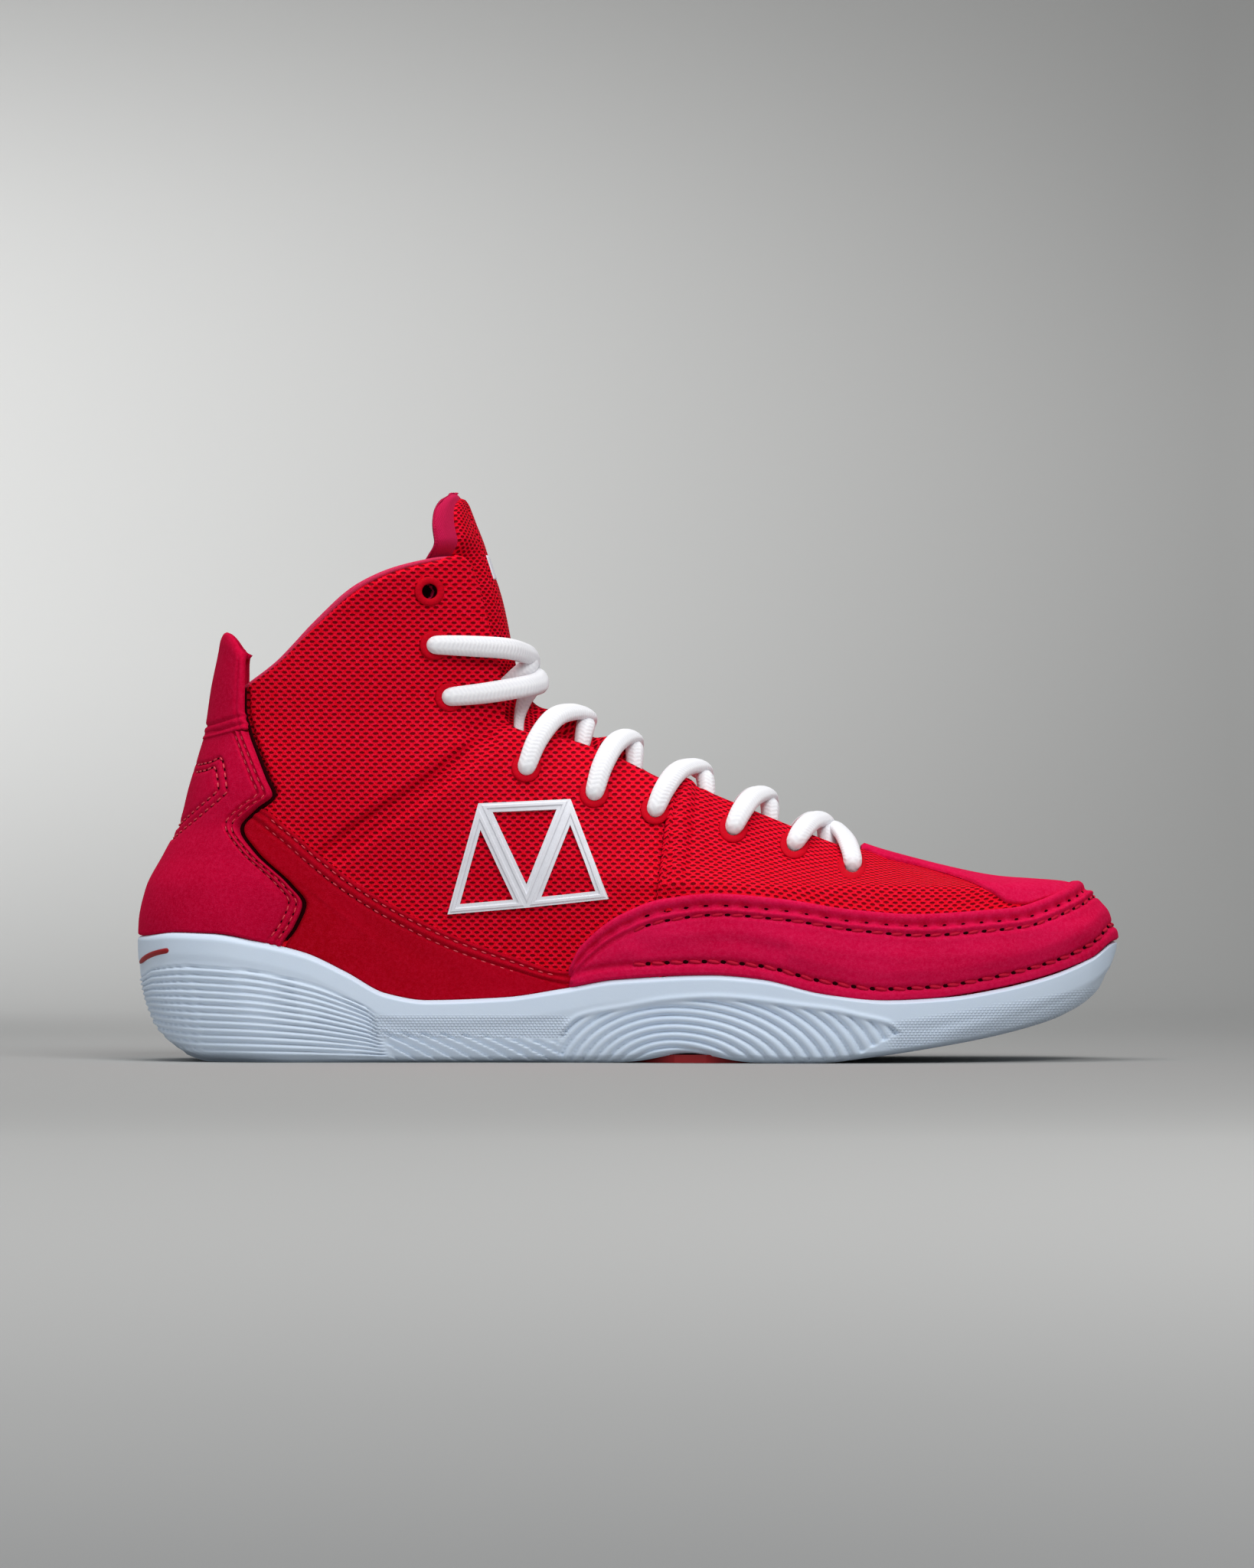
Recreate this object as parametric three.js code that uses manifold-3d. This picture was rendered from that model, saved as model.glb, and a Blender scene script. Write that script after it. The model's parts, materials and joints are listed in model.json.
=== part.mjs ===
// A high-cut boxing boot for the right foot: a cupped rubber outsole, a mesh upper with suede
// overlays, a padded tongue and one lace through nine pairs of eyelets.
// Millimetres. While it is built, X runs from the back of the heel (0) to the toe tip (290), -Y is
// the outer (lateral) side of the foot and Z is up from the floor.
import * as THREE from "three";
import Module from "manifold-3d";
import { mergeVertices } from "three/addons/utils/BufferGeometryUtils.js";

const wasm = await Module();
wasm.setup();

// ---------------------------------------------------------------- driving dimensions
const LENGTH = 290;
const LATERAL = -1;
const MEDIAL = 1;
const GAP = 0.45; // clearance between parts that touch
const LIFT = 0.75; // clearance under an overlay
const PLY = 1; // clearance between the plies inside the upper
const MESH = 1.4; // thickness of the mesh panels, below the skin surface
const SUEDE = 1.3; // thickness of the suede overlays, above the skin surface
const PAD = 1.2; // thickness of the stiffeners and collar foam behind the mesh
const LINING = 0.8;
const HOLE_R = 2.3; // eyelet hole
const RING_R = 4.7; // outer radius of an eyelet ring
const RING_T = 0.5;
const RING_LIFT = 1.1; // clearance under an eyelet ring, which is flat on a curved panel
const LACE_R = 2.2; // a lace strand that lies free
const LACE_TIGHT_R = 1.4; // the same strand squeezed in an eyelet or under a facing
const SOLE_FLOOR = 3.6; // rubber under the foam
const BOARD = 1.2;
const SOCK = 3;

// ---------------------------------------------------------------- smooth functions of one number
// A monotone cubic through a few [input, value] pairs, constant beyond its ends.
function curve(points) {
  const n = points.length;
  const step = points.slice(1).map((p, i) => (p[1] - points[i][1]) / (p[0] - points[i][0]));
  const slope = points.map((_, i) => {
    if (i === 0 || i === n - 1) return 0;
    const [a, b] = [step[i - 1], step[i]];
    return a * b <= 0 ? 0 : (2 * a * b) / (a + b);
  });
  return (v) => {
    if (v <= points[0][0]) return points[0][1];
    if (v >= points[n - 1][0]) return points[n - 1][1];
    let i = 0;
    while (v > points[i + 1][0]) i += 1;
    const h = points[i + 1][0] - points[i][0];
    const t = (v - points[i][0]) / h;
    const rise = step[i] * h;
    const [m0, m1] = [slope[i] * h, slope[i + 1] * h];
    return points[i][1] + t * (m0 + t * (3 * rise - 2 * m0 - m1 + t * (m0 + m1 - 2 * rise)));
  };
}
const lerp = (a, b, t) => a + (b - a) * t;
const clamp01 = (t) => Math.min(1, Math.max(0, t));
const smooth = (t) => clamp01(t) ** 2 * (3 - 2 * clamp01(t));
const quarterRound = (t) => Math.sqrt(Math.max(0, 1 - (1 - clamp01(t)) ** 2));

// ---------------------------------------------------------------- the boot's skin
// Side outline: the back of the heel and the ridge over toe, instep and shin, each at a height.
const backX = curve([[0, 22], [4.5, 13], [8, 8.5], [13, 5.2], [20, 3.3], [30, 2.6], [40, 2.8], [50, 4.8],
  [60, 9.6], [70, 14.6], [80, 17.2], [90, 20.2], [97, 22.2], [110, 24.2], [122, 26.6], [150, 30]]);
const frontX = curve([[0, 195], [2, 206], [4, 220], [6.6, 242], [9.5, 258], [14.5, 274.5], [21.5, 284],
  [27, 287], [33, 288.3], [37, 288], [41, 286], [45, 283.5], [48, 281], [50, 278.6], [51.2, 275],
  [52.3, 265.5], [53.4, 255], [55.2, 244], [57.5, 233], [60.6, 222], [62.7, 216], [67, 205.5], [71.5, 195.5], [80, 176], [88, 156], [93, 145],
  [98, 134.5], [103, 126], [108, 121], [114, 117.5], [122, 114.5], [142, 107], [152, 103.5], [170, 94]]);
const ridgeZ = (x) => {
  let [low, high] = [37, 170];
  for (let i = 0; i < 30; i += 1) {
    const mid = (low + high) / 2;
    if (frontX(mid) > x) low = mid;
    else high = mid;
  }
  return low;
};
// How far the nose of each level is rounded, and how wide the foot and the leg are.
const noseRound = curve([[0, 60], [15, 76], [30, 88], [40, 94], [50, 108], [60, 122], [76, 116],
  [90, 98], [105, 70], [120, 56], [150, 50]]);
const HEEL_ROUND = 37;
const footHalf = curve([[0, 33], [40, 33.5], [72, 32], [100, 30.5], [125, 32.5], [150, 37.5],
  [180, 43.5], [205, 45.8], [290, 46]]);
const legHalf = curve([[40, 33], [80, 34], [105, 32.5], [125, 32], [150, 34]]);
const footCentre = curve([[50, 0], [105, -2], [150, -2], [200, 0], [240, 3], [270, 5.5], [290, 7]]);

const centreY = (x, z) => footCentre(x) * (1 - smooth((z - 55) / 55));
const halfWidth = (x, z) =>
  lerp(footHalf(x), legHalf(z), smooth((z - 35) / 60)) *
  quarterRound((x - backX(z)) / HEEL_ROUND) *
  quarterRound((frontX(z) - x) / noseRound(z));

// The point of the skin seen at (x, z) from one side, moved out along the surface's normal.
function skin(x, z, side, out = 0) {
  const d = 0.25;
  const bulge = (a, b) => side * centreY(a, b) + halfWidth(a, b);
  const normal = new THREE.Vector3(
    (bulge(x - d, z) - bulge(x + d, z)) / (2 * d), side, (bulge(x, z - d) - bulge(x, z + d)) / (2 * d),
  ).normalize();
  const onSkin = new THREE.Vector3(x, centreY(x, z) + side * halfWidth(x, z), z);
  return onSkin.addScaledVector(normal, out);
}
const skinNormal = (x, z, side) => skin(x, z, side, 1).sub(skin(x, z, side));

// ---------------------------------------------------------------- lines on the side view
const lipZ = curve([[0, 36.4], [12, 37.6], [22, 37.4], [36, 35.2], [50, 31.8], [62, 26.2], [74, 19.8],
  [86, 17.8], [108, 18.6], [126, 21.2], [142, 24], [170, 25.4], [184, 24.3], [204, 19.9], [222, 18],
  [238, 18.7], [254, 21.1], [270, 25.1], [282, 30], [290, 34.8]]);
const treadZ = curve([[0, 15], [3, 9.5], [8, 5], [15, 1.6], [22, 0], [200, 0], [216, 1.6], [234, 4.2],
  [252, 7.4], [268, 11.4], [277, 14.8], [283, 18.6], [287, 23], [290, 29]]);
const foamZ = (x) => treadZ(x) + lerp(11, 7.2, smooth((x - 60) / 110));
const randTopZ = curve([[127, 27.5], [131, 34], [143, 43.3], [157, 48.2], [173, 49.7], [193, 48],
  [213, 44.8], [233, 43.3], [254, 44.2], [264, 45], [273, 47], [282.5, 49.5], [290, 50.8]]);
const bandTopZ = curve([[36, 75.5], [45, 69.5], [55, 60.8], [65, 53.2], [80, 44.2], [95, 37],
  [110, 31.6], [127, 27]]);
const heelEdgeX = curve([[33, 43], [40, 47], [46.5, 49.4], [52, 45.5], [62, 35], [68.5, 31], [74.5, 36],
  [78.5, 40.6], [83, 38.8], [90, 36], [97, 33.4], [104, 31.8], [118, 31.6], [123, 30.8], [126.5, 27.6]]);
const SEAM_TOP = [160, 81];
const SEAM_FOOT = [151, 10];
const seamX = (z) => lerp(SEAM_FOOT[0], SEAM_TOP[0], (z - SEAM_FOOT[1]) / (SEAM_TOP[1] - SEAM_FOOT[1]));
const COLLAR = [[24, 106], [32, 111.5], [42, 118.5], [53, 129], [64, 138.3], [75, 144.2], [88, 148],
  [98, 149.5]];
const FACING = [[98, 149.5], [103, 135], [107, 120], [109, 108], [112, 100], [121, 97.5], [131, 95],
  [147, 88.3], SEAM_TOP];
const EYELETS = [[211, 57.6], [194, 63.8], [176, 68.6], [153, 74], [135, 79], [115, 86.5],
  [92.5, 107.3], [88, 122.6], [86.5, 138.5]]; // from the toe up; the top pair is not laced
const THROAT_HALF = 12;
const THROAT_END_X = 217;

// ---------------------------------------------------------------- mesh builders
// Rings of equally many points joined into a closed body. `closed` rings go all the way round.
function geometryFrom(points, faces) {
  const geometry = new THREE.BufferGeometry();
  geometry.setAttribute("position", new THREE.Float32BufferAttribute(points.flatMap((p) => p.toArray()), 3));
  const corner = (i) => points[faces[i]];
  let volume = 0;
  for (let i = 0; i < faces.length; i += 3)
    volume += corner(i).dot(new THREE.Vector3().crossVectors(corner(i + 1), corner(i + 2)));
  if (volume < 0)
    for (let i = 0; i < faces.length; i += 3) [faces[i + 1], faces[i + 2]] = [faces[i + 2], faces[i + 1]];
  geometry.setIndex(faces);
  geometry.computeVertexNormals();
  return geometry;
}

// A shell over a grid of the skin. `place(u, v)` gives [x, z, side, sink] for u and v from 0 to 1.
function shell(columns, rows, place, outer, inner) {
  const points = [];
  for (const out of [outer, inner])
    for (let j = 0; j <= rows; j += 1)
      for (let i = 0; i <= columns; i += 1) {
        const [x, z, side, sink = 0] = place(i / columns, j / rows);
        const p = skin(x, z, side, out - sink);
        if (place.halves && side * (p.y - centreY(x, z)) < GAP) p.y = centreY(x, z) + side * GAP;
        points.push(p);
      }
  const at = (layer, i, j) => (layer * (rows + 1) + j) * (columns + 1) + i;
  const faces = [];
  const quad = (a, b, c, d) => faces.push(a, b, c, a, c, d);
  const wraps = place(0, 0.5)[2] !== place(1, 0.5)[2];
  for (let j = 0; j < rows; j += 1)
    for (let i = 0; i < columns; i += 1) {
      const outerQuad = [at(0, i, j), at(0, i + 1, j), at(0, i + 1, j + 1), at(0, i, j + 1)];
      const innerQuad = [at(1, i, j), at(1, i, j + 1), at(1, i + 1, j + 1), at(1, i + 1, j)];
      if (wraps && place((i + 0.5) / columns, 0.5)[2] < 0)
        [outerQuad, innerQuad].forEach((corners) => corners.push(corners.shift()));
      quad(...outerQuad);
      quad(...innerQuad);
    }
  for (let i = 0; i < columns; i += 1) {
    quad(at(0, i, 0), at(1, i, 0), at(1, i + 1, 0), at(0, i + 1, 0));
    quad(at(0, i, rows), at(0, i + 1, rows), at(1, i + 1, rows), at(1, i, rows));
  }
  for (let j = 0; j < rows; j += 1) {
    quad(at(0, 0, j), at(0, 0, j + 1), at(1, 0, j + 1), at(1, 0, j));
    quad(at(0, columns, j), at(1, columns, j), at(1, columns, j + 1), at(0, columns, j + 1));
  }
  return geometryFrom(points, faces);
}

// A polyline's point at a share of its length.
function along(line, share) {
  const parts = line.slice(1).map((p, i) => Math.hypot(p[0] - line[i][0], p[1] - line[i][1]));
  let left = clamp01(share) * parts.reduce((a, b) => a + b, 0);
  let i = 0;
  while (i < parts.length - 1 && left > parts[i]) {
    left -= parts[i];
    i += 1;
  }
  const t = left / parts[i];
  return [lerp(line[i][0], line[i + 1][0], t), lerp(line[i][1], line[i + 1][1], t)];
}

// A four-sided patch of the side view between its foot, top, back and front lines.
function patch(foot, top, back, front, side) {
  const mix = (u, v, k) =>
    lerp(foot(u)[k], top(u)[k], v) + lerp(back(v)[k], front(v)[k], u) -
    lerp(lerp(foot(0)[k], foot(1)[k], u), lerp(top(0)[k], top(1)[k], u), v);
  return (u, v) => [mix(u, v, 0), mix(u, v, 1), side];
}

// Bands of the skin that wrap the toe or the heel, from the outer side round to the inner side.
const roundToe = (startX, lowZ, highZ) => (u, v) => {
  const t = 2 * u - 1;
  const nominal = LENGTH - (LENGTH - startX) * t * t;
  const z = lerp(lowZ(nominal), highZ(nominal), v);
  return [frontX(z) - Math.max(0, frontX(z) - startX) * t * t, z, t < 0 ? LATERAL : MEDIAL];
};
const roundHeel = (edgeX, lowZ, highZ) => (u, v) => {
  const t = 2 * u - 1;
  const z = lerp(lowZ(edgeX(lowZ(0)) * t * t), highZ, v);
  return [lerp(backX(z), edgeX(z), t * t), z, t < 0 ? LATERAL : MEDIAL];
};

// An arch over the forefoot from the outer side over the ridge to the inner side. `startX` gives
// its rear edge at a height.
const arch = (startX, toX, lowZ) => (u, v) => {
  const turn = Math.sin(Math.PI * (u < 0.5 ? u : 1 - u));
  const start = startX(lerp(lowZ(startX(0)), ridgeZ(startX(0)), turn));
  const x = lerp(start, toX, 1 - (1 - v) ** 1.35);
  return [x, lerp(lowZ(x), ridgeZ(x) - 0.02, turn), u < 0.5 ? LATERAL : MEDIAL];
};

function solid(geometry) {
  const bare = geometry.clone();
  ["normal", "uv"].forEach((name) => bare.deleteAttribute(name));
  const merged = mergeVertices(bare, 1e-4);
  return new wasm.Manifold(new wasm.Mesh({
    numProp: 3,
    vertProperties: merged.attributes.position.array,
    triVerts: new Uint32Array(merged.index.array),
  }));
}
function unsolid(body) {
  const mesh = body.getMesh();
  const geometry = new THREE.BufferGeometry();
  geometry.setAttribute("position", new THREE.BufferAttribute(new Float32Array(mesh.vertProperties), 3));
  geometry.setIndex(new THREE.BufferAttribute(new Uint32Array(mesh.triVerts), 1));
  geometry.computeVertexNormals();
  return geometry;
}
const cut = (geometry, ...tools) =>
  unsolid(tools.reduce((body, tool) => body.subtract(solid(tool)), solid(geometry)));

// ---------------------------------------------------------------- the assembly
const boot = new THREE.Group();
function add(name, geometry, colour, roughness = 0.9) {
  const material = new THREE.MeshStandardMaterial({ color: colour, roughness, metalness: 0 });
  const mesh = new THREE.Mesh(geometry, material);
  mesh.name = name;
  boot.add(mesh);
  return mesh;
}
const COLOUR = { rubber: 0xdfe8f2, red: 0xc8101c, suede: 0xc0104a, mesh: 0xc4001c, lining: 0xc22456,
  white: 0xf4f4f4, foam: 0xe8e4da, board: 0xb9a98c, stiffener: 0xd8d0c0, clear: 0xd8dde2 };

// ---------------------------------------------------------------- sole
const STATIONS = 24;
// Outline of the sole at each station, shrunk at its ends and sides and set at a height.
function soleRing(endInset, sideInset, height) {
  const half = (k) => {
    const turn = (Math.PI * k) / STATIONS;
    const share = (1 - Math.cos(turn)) / 2;
    const x = lerp(endInset, LENGTH - endInset, share);
    const z = lipZ(LENGTH * share);
    const atSkin = lerp(backX(z) + 0.01, frontX(z) - 0.01, share);
    const wide = halfWidth(atSkin, z) + 2.7 * Math.min(1, 3 * Math.sin(turn)) + 0.3;
    return { x, y: Math.max(0.3, wide - sideInset * Math.min(1, 2 * Math.sin(turn))) };
  };
  const ring = [];
  for (let k = 0; k <= STATIONS; k += 1) {
    const { x, y } = half(k);
    ring.push(new THREE.Vector3(x, centreY(x, 30) - y, height(x)));
  }
  for (let k = STATIONS; k >= 0; k -= 1) {
    const { x, y } = half(k);
    ring.push(new THREE.Vector3(x, centreY(x, 30) + y, height(x)));
  }
  return ring;
}
// Rings stacked into a body whose first and last rings are closed by strips across the foot.
function stack(rings) {
  const n = rings[0].length;
  const faces = [];
  for (let r = 0; r < rings.length - 1; r += 1)
    for (let i = 0; i < n; i += 1) {
      const [a, b] = [r * n + i, r * n + ((i + 1) % n)];
      faces.push(a, b, b + n, a, b + n, a + n);
    }
  const cap = (base, flip) => {
    for (let i = 0; i < n / 2 - 1; i += 1) {
      const quad = [base + i, base + i + 1, base + n - 2 - i, base + n - 1 - i];
      if (flip) quad.reverse();
      faces.push(quad[0], quad[2], quad[1], quad[0], quad[3], quad[2]);
    }
  };
  cap(0, false);
  cap((rings.length - 1) * n, true);
  return geometryFrom(rings.flat(), faces);
}
const between = (share) => (x) => lerp(treadZ(x), lipZ(x), share);
const plate = (endInset, sideInset, low, high) =>
  stack([soleRing(endInset, sideInset, low), soleRing(endInset, sideInset, high)]);

// A flat disc of tread, an ellipse in plan, standing a little proud of its seat.
function treadDisc(x, y, radiusX, radiusY, low, high) {
  const outline = new THREE.Shape().absellipse(0, 0, radiusX, radiusY, 0, 2 * Math.PI);
  const disc = new THREE.ExtrudeGeometry(outline, { depth: high - low, bevelEnabled: false, curveSegments: 10 });
  return disc.translate(x, y, low);
}
const PIVOT = { x: 168, y: -4, rx: 30, ry: 38, top: 2.4 };
const HEEL_DISC = { x: 46, y: 0, rx: 20, ry: 21, top: 2.4 };
const seat = (d) => treadDisc(d.x, d.y, d.rx + GAP, d.ry + GAP, -1, d.top + GAP);
const cup = stack([
  soleRing(14, 5, treadZ), soleRing(4.5, 1.4, (x) => treadZ(x) + 1.6), soleRing(0.6, 0.3, between(0.45)),
  soleRing(0, 0, lipZ), soleRing(2, 2.3, lipZ), soleRing(2.1, 3, between(0.55)),
  soleRing(12, 7.5, (x) => treadZ(x) + SOLE_FLOOR),
]);
add("outsole", cut(cup, seat(PIVOT), seat(HEEL_DISC)), COLOUR.rubber, 0.45);
add("forefoot_pivot_disc", treadDisc(PIVOT.x, PIVOT.y, PIVOT.rx, PIVOT.ry, 0, PIVOT.top), COLOUR.red, 0.5);
add("heel_tread_disc", treadDisc(HEEL_DISC.x, HEEL_DISC.y, HEEL_DISC.rx, HEEL_DISC.ry, 0, HEEL_DISC.top),
  COLOUR.red, 0.5);
add("midsole_foam", plate(14.5, 9.6, (x) => treadZ(x) + SOLE_FLOOR + GAP, foamZ), COLOUR.foam);
add("insole_board", plate(14.5, 9.6, (x) => foamZ(x) + GAP, (x) => foamZ(x) + GAP + BOARD), COLOUR.board);
const sockLow = (x) => foamZ(x) + BOARD + 2 * GAP;
add("sockliner", plate(14.5, 9.6, sockLow, (x) => sockLow(x) + SOCK), COLOUR.lining);

// ---------------------------------------------------------------- mesh upper and what backs it
const backing = -MESH - PLY; // outer face of the stiffeners, foam and reinforcements
const liningOut = backing - PAD - PLY;
const quarterFoot = (x) => lipZ(x) - 3;
const liningFoot = (x) => Math.max(foamZ(x) + 2.2, lipZ(x) - 14);

// One side of the upper, from the heel to the seam with the vamp, up to the collar and the facing.
function quarterPatch(side, footZ, trim = 0) {
  const top = [...COLLAR, ...FACING.slice(1)].map(([x, z]) => [x, z - trim]);
  const seamTop = [SEAM_TOP[0], SEAM_TOP[1] - trim];
  const back = (v) => {
    const z = lerp(footZ(0), top[0][1], v);
    return [backX(z), z];
  };
  const low = footZ(seamX(footZ(SEAM_FOOT[0])));
  const foot = (u) => {
    const x = lerp(backX(footZ(0)), seamX(low), u ** 1.7);
    return [x, footZ(x)];
  };
  const front = (v) => [seamX(lerp(foot(1)[1], seamTop[1], v)), lerp(foot(1)[1], seamTop[1], v)];
  const upper = [back(1), ...top.slice(1)];
  const place = patch(foot, (u) => along(upper, u ** 1.5), back, front, side);
  place.halves = true;
  return place;
}

// A straight drill through the upper at an eyelet.
function drill([x, z], side) {
  const tool = new THREE.CylinderGeometry(HOLE_R, HOLE_R, 16, 8);
  tool.applyQuaternion(
    new THREE.Quaternion().setFromUnitVectors(new THREE.Vector3(0, 1, 0), skinNormal(x, z, side)));
  const at = skin(x, z, side);
  return tool.translate(at.x, at.y, at.z);
}
const drills = (side, first, last) => EYELETS.slice(first, last).map((spot) => drill(spot, side));

for (const [name, side] of [["lateral", LATERAL], ["medial", MEDIAL]]) {
  add(`${name}_quarter_mesh`, cut(shell(18, 10, quarterPatch(side, quarterFoot), 0, -MESH),
    ...drills(side, 3, 9)), COLOUR.mesh);
  add(`${name}_quarter_lining`, cut(shell(15, 9, quarterPatch(side, liningFoot, 0.6), liningOut,
    liningOut - LINING), ...drills(side, 3, 9)), COLOUR.lining);
}

// The vamp is one arch whose rear edge leans along the seam, slotted for the tongue.
function throatSlot() {
  const slot = new THREE.Shape();
  slot.moveTo(100, -THROAT_HALF);
  slot.lineTo(THROAT_END_X - THROAT_HALF, -THROAT_HALF);
  slot.absarc(THROAT_END_X - THROAT_HALF, 0, THROAT_HALF, -Math.PI / 2, Math.PI / 2, false);
  slot.lineTo(100, THROAT_HALF);
  return new THREE.ExtrudeGeometry(slot, { depth: 90, bevelEnabled: false, curveSegments: 5 })
    .translate(0, 0, 45);
}
const vampRear = (z) => seamX(z) + 0.9;
const vampHoles = [throatSlot(), ...drills(LATERAL, 0, 3), ...drills(MEDIAL, 0, 3)];
add("vamp_mesh", cut(shell(22, 11, arch(vampRear, 276.8, quarterFoot), 0, -MESH), ...vampHoles), COLOUR.mesh);
add("vamp_lining", cut(shell(14, 8, arch(vampRear, 264, liningFoot), liningOut, liningOut - LINING),
  ...vampHoles), COLOUR.lining);

add("toe_puff", shell(18, 3, roundToe(230, (x) => lipZ(x) - 1.5, () => 44), backing, backing - PAD),
  COLOUR.stiffener);
const counterEdge = curve([[30, 66], [74, 40]]);
add("heel_counter", shell(16, 5, roundHeel(counterEdge, (x) => lipZ(x) - 1.5, 74), backing, backing - PAD),
  COLOUR.stiffener);

// Along the collar from the outer side round the heel, between two heights above its line.
const roundCollar = (reach, low, high) => (u, v) => {
  const t = 2 * u - 1;
  const [x, z] = along([[backX(106), 106], ...COLLAR.slice(1)], reach * t * t);
  const height = z + lerp(low(Math.abs(t)), high, v);
  return [x - backX(z) + backX(height), height, t < 0 ? LATERAL : MEDIAL];
};
add("collar_foam", shell(24, 2, roundCollar(0.68, (t) => -24 + 8 * t * t, -0.9), backing, backing - PAD),
  COLOUR.foam);
add("collar_binding", shell(32, 1, roundCollar(0.97, () => 0.9, 2.4), 0, liningOut - LINING), COLOUR.lining);

// A strip behind one row of eyelets, from the toe end up to the collar.
function facingStrip(side) {
  const row = [[213.6, 57.2], ...EYELETS, [86.4, 141.4]];
  return (u, v) => {
    const [x, z] = along(row, u);
    const [x0, z0] = along(row, u - 0.06);
    const [x1, z1] = along(row, u + 0.06);
    const run = Math.hypot(x1 - x0, z1 - z0);
    const across = lerp(-4, 5, v);
    return [x + ((z0 - z1) / run) * -across, z + ((x1 - x0) / run) * -across, side];
  };
}
for (const [name, side] of [["lateral", LATERAL], ["medial", MEDIAL]])
  add(`${name}_eyelet_facing`, cut(shell(20, 2, facingStrip(side), backing, backing - PAD),
    ...drills(side, 0, 9)), COLOUR.stiffener);

// ---------------------------------------------------------------- suede overlays
const suedeFoot = (x) => lipZ(x) + GAP;
const layer = (columns, rows, place, thick = SUEDE, lift = LIFT) =>
  shell(columns, rows, place, lift + thick, lift);
add("toe_rand", layer(32, 4, roundToe(127.5, (x) => suedeFoot(x) + 0.9, randTopZ), SUEDE + 0.3), COLOUR.suede);
const toeTopLow = curve([[213, 61.5], [232, 57], [245, 53], [252, 50.6], [257, 48.4], [262, 48.4],
  [268, 49.4], [275, 50.5]]);
add("toe_top_overlay", layer(12, 9, arch(() => 219.5, 274.6, toeTopLow), 0.8, 1.3), COLOUR.suede);
add("heel_suede", layer(18, 11, roundHeel(heelEdgeX, suedeFoot, 96.3)), COLOUR.suede);
for (const [name, side] of [["lateral", LATERAL], ["medial", MEDIAL]]) {
  const rear = (v) => {
    const z = lerp(34.5, 75, v);
    return [heelEdgeX(z) + 1.8, z];
  };
  const foot = (u) => {
    const x = lerp(rear(0)[0], 126.4, u);
    return [x, suedeFoot(x)];
  };
  const top = (u) => {
    const x = lerp(rear(1)[0], 126.4, u);
    return [x, bandTopZ(x)];
  };
  const front = (v) => [126.4, lerp(foot(1)[1], top(1)[1], v)];
  add(`${name}_side_band`, layer(13, 8, patch(foot, top, rear, front, side)), COLOUR.suede);
}
add("pull_tab", layer(10, 4, roundHeel(heelEdgeX, () => 97.2, 126), 1.8), COLOUR.suede);

// ---------------------------------------------------------------- moulded side badge
// A trapezium of flat bars with three triangular windows.
const BADGE = { foot: [[94, 45], [138, 49]], top: [[102, 75], [127, 76]], thick: 1.1 };
function window3(a, b, c, side) {
  const middle = [(a[0] + b[0] + c[0]) / 3, (a[1] + b[1] + c[1]) / 3];
  const shape = new THREE.Shape([a, b, c].map(([x, z]) => new THREE.Vector2(
    lerp(middle[0], x, 0.5), lerp(middle[1], z, 0.5))));
  const prism = new THREE.ExtrudeGeometry(shape, { depth: 60, bevelEnabled: false });
  return prism.rotateX(Math.PI / 2).translate(0, side < 0 ? 0 : 60, 0);
}
for (const [name, side] of [["lateral", LATERAL], ["medial", MEDIAL]]) {
  const { foot: [a, b], top: [d, c] } = BADGE;
  const line = ([p, q]) => (t) => [lerp(p[0], q[0], t), lerp(p[1], q[1], t)];
  const place = patch(line([a, b]), line([d, c]), line([a, d]), line([b, c]), side);
  const low = line([a, b])(0.5);
  add(`${name}_badge`, cut(layer(9, 6, place, BADGE.thick), window3(a, low, d, side),
    window3(low, c, d, side), window3(low, b, c, side)), COLOUR.white, 0.5);
}

// ---------------------------------------------------------------- tongue
const under = liningOut - LINING - 0.7 - LACE_TIGHT_R; // middle of the lace under a facing
const tongueSink = -under + LACE_TIGHT_R + 0.7;
const TONGUE_SPLIT = 155.5; // the tongue above this height is free and folds
const tongueDepth = curve([[58, 24], [100, 26], [120, 22], [150, 20], [160, 16], [168, 7]]);
// The tongue runs up the shin behind the throat: deep under the facings, proud above the collar.
function tonguePatch(lowZ, highZ, inset = 0) {
  return (u, v) => {
    const t = (2 * u - 1) * (1 - inset);
    const z = lerp(lowZ, highZ, v);
    const tucked = smooth((Math.abs(t) - 0.2) / 0.5) * (1 - smooth((z - 151) / 6));
    const rise = smooth((z - 126) / 22) * (1 - tucked);
    const x = frontX(z) - 0.02 - tongueDepth(z) * t * t;
    return [x, z, t < 0 ? LATERAL : MEDIAL, lerp(tongueSink, 0.8, rise)];
  };
}
const tongueLow = tonguePatch(61, TONGUE_SPLIT - 0.6);
const tongueHigh = tonguePatch(TONGUE_SPLIT + 0.2, 167);
add("tongue", shell(10, 13, tongueLow, 0, -3), COLOUR.mesh);
add("tongue_lining", shell(10, 13, tongueLow, -3 - PLY, -3 - PLY - LINING), COLOUR.lining);
add("tongue_top", shell(12, 4, tongueHigh, 0, -4.4), COLOUR.mesh);
add("tongue_top_lining", shell(12, 4, tongueHigh, -4.4 - PLY, -4.4 - PLY - LINING), COLOUR.lining);

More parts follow.
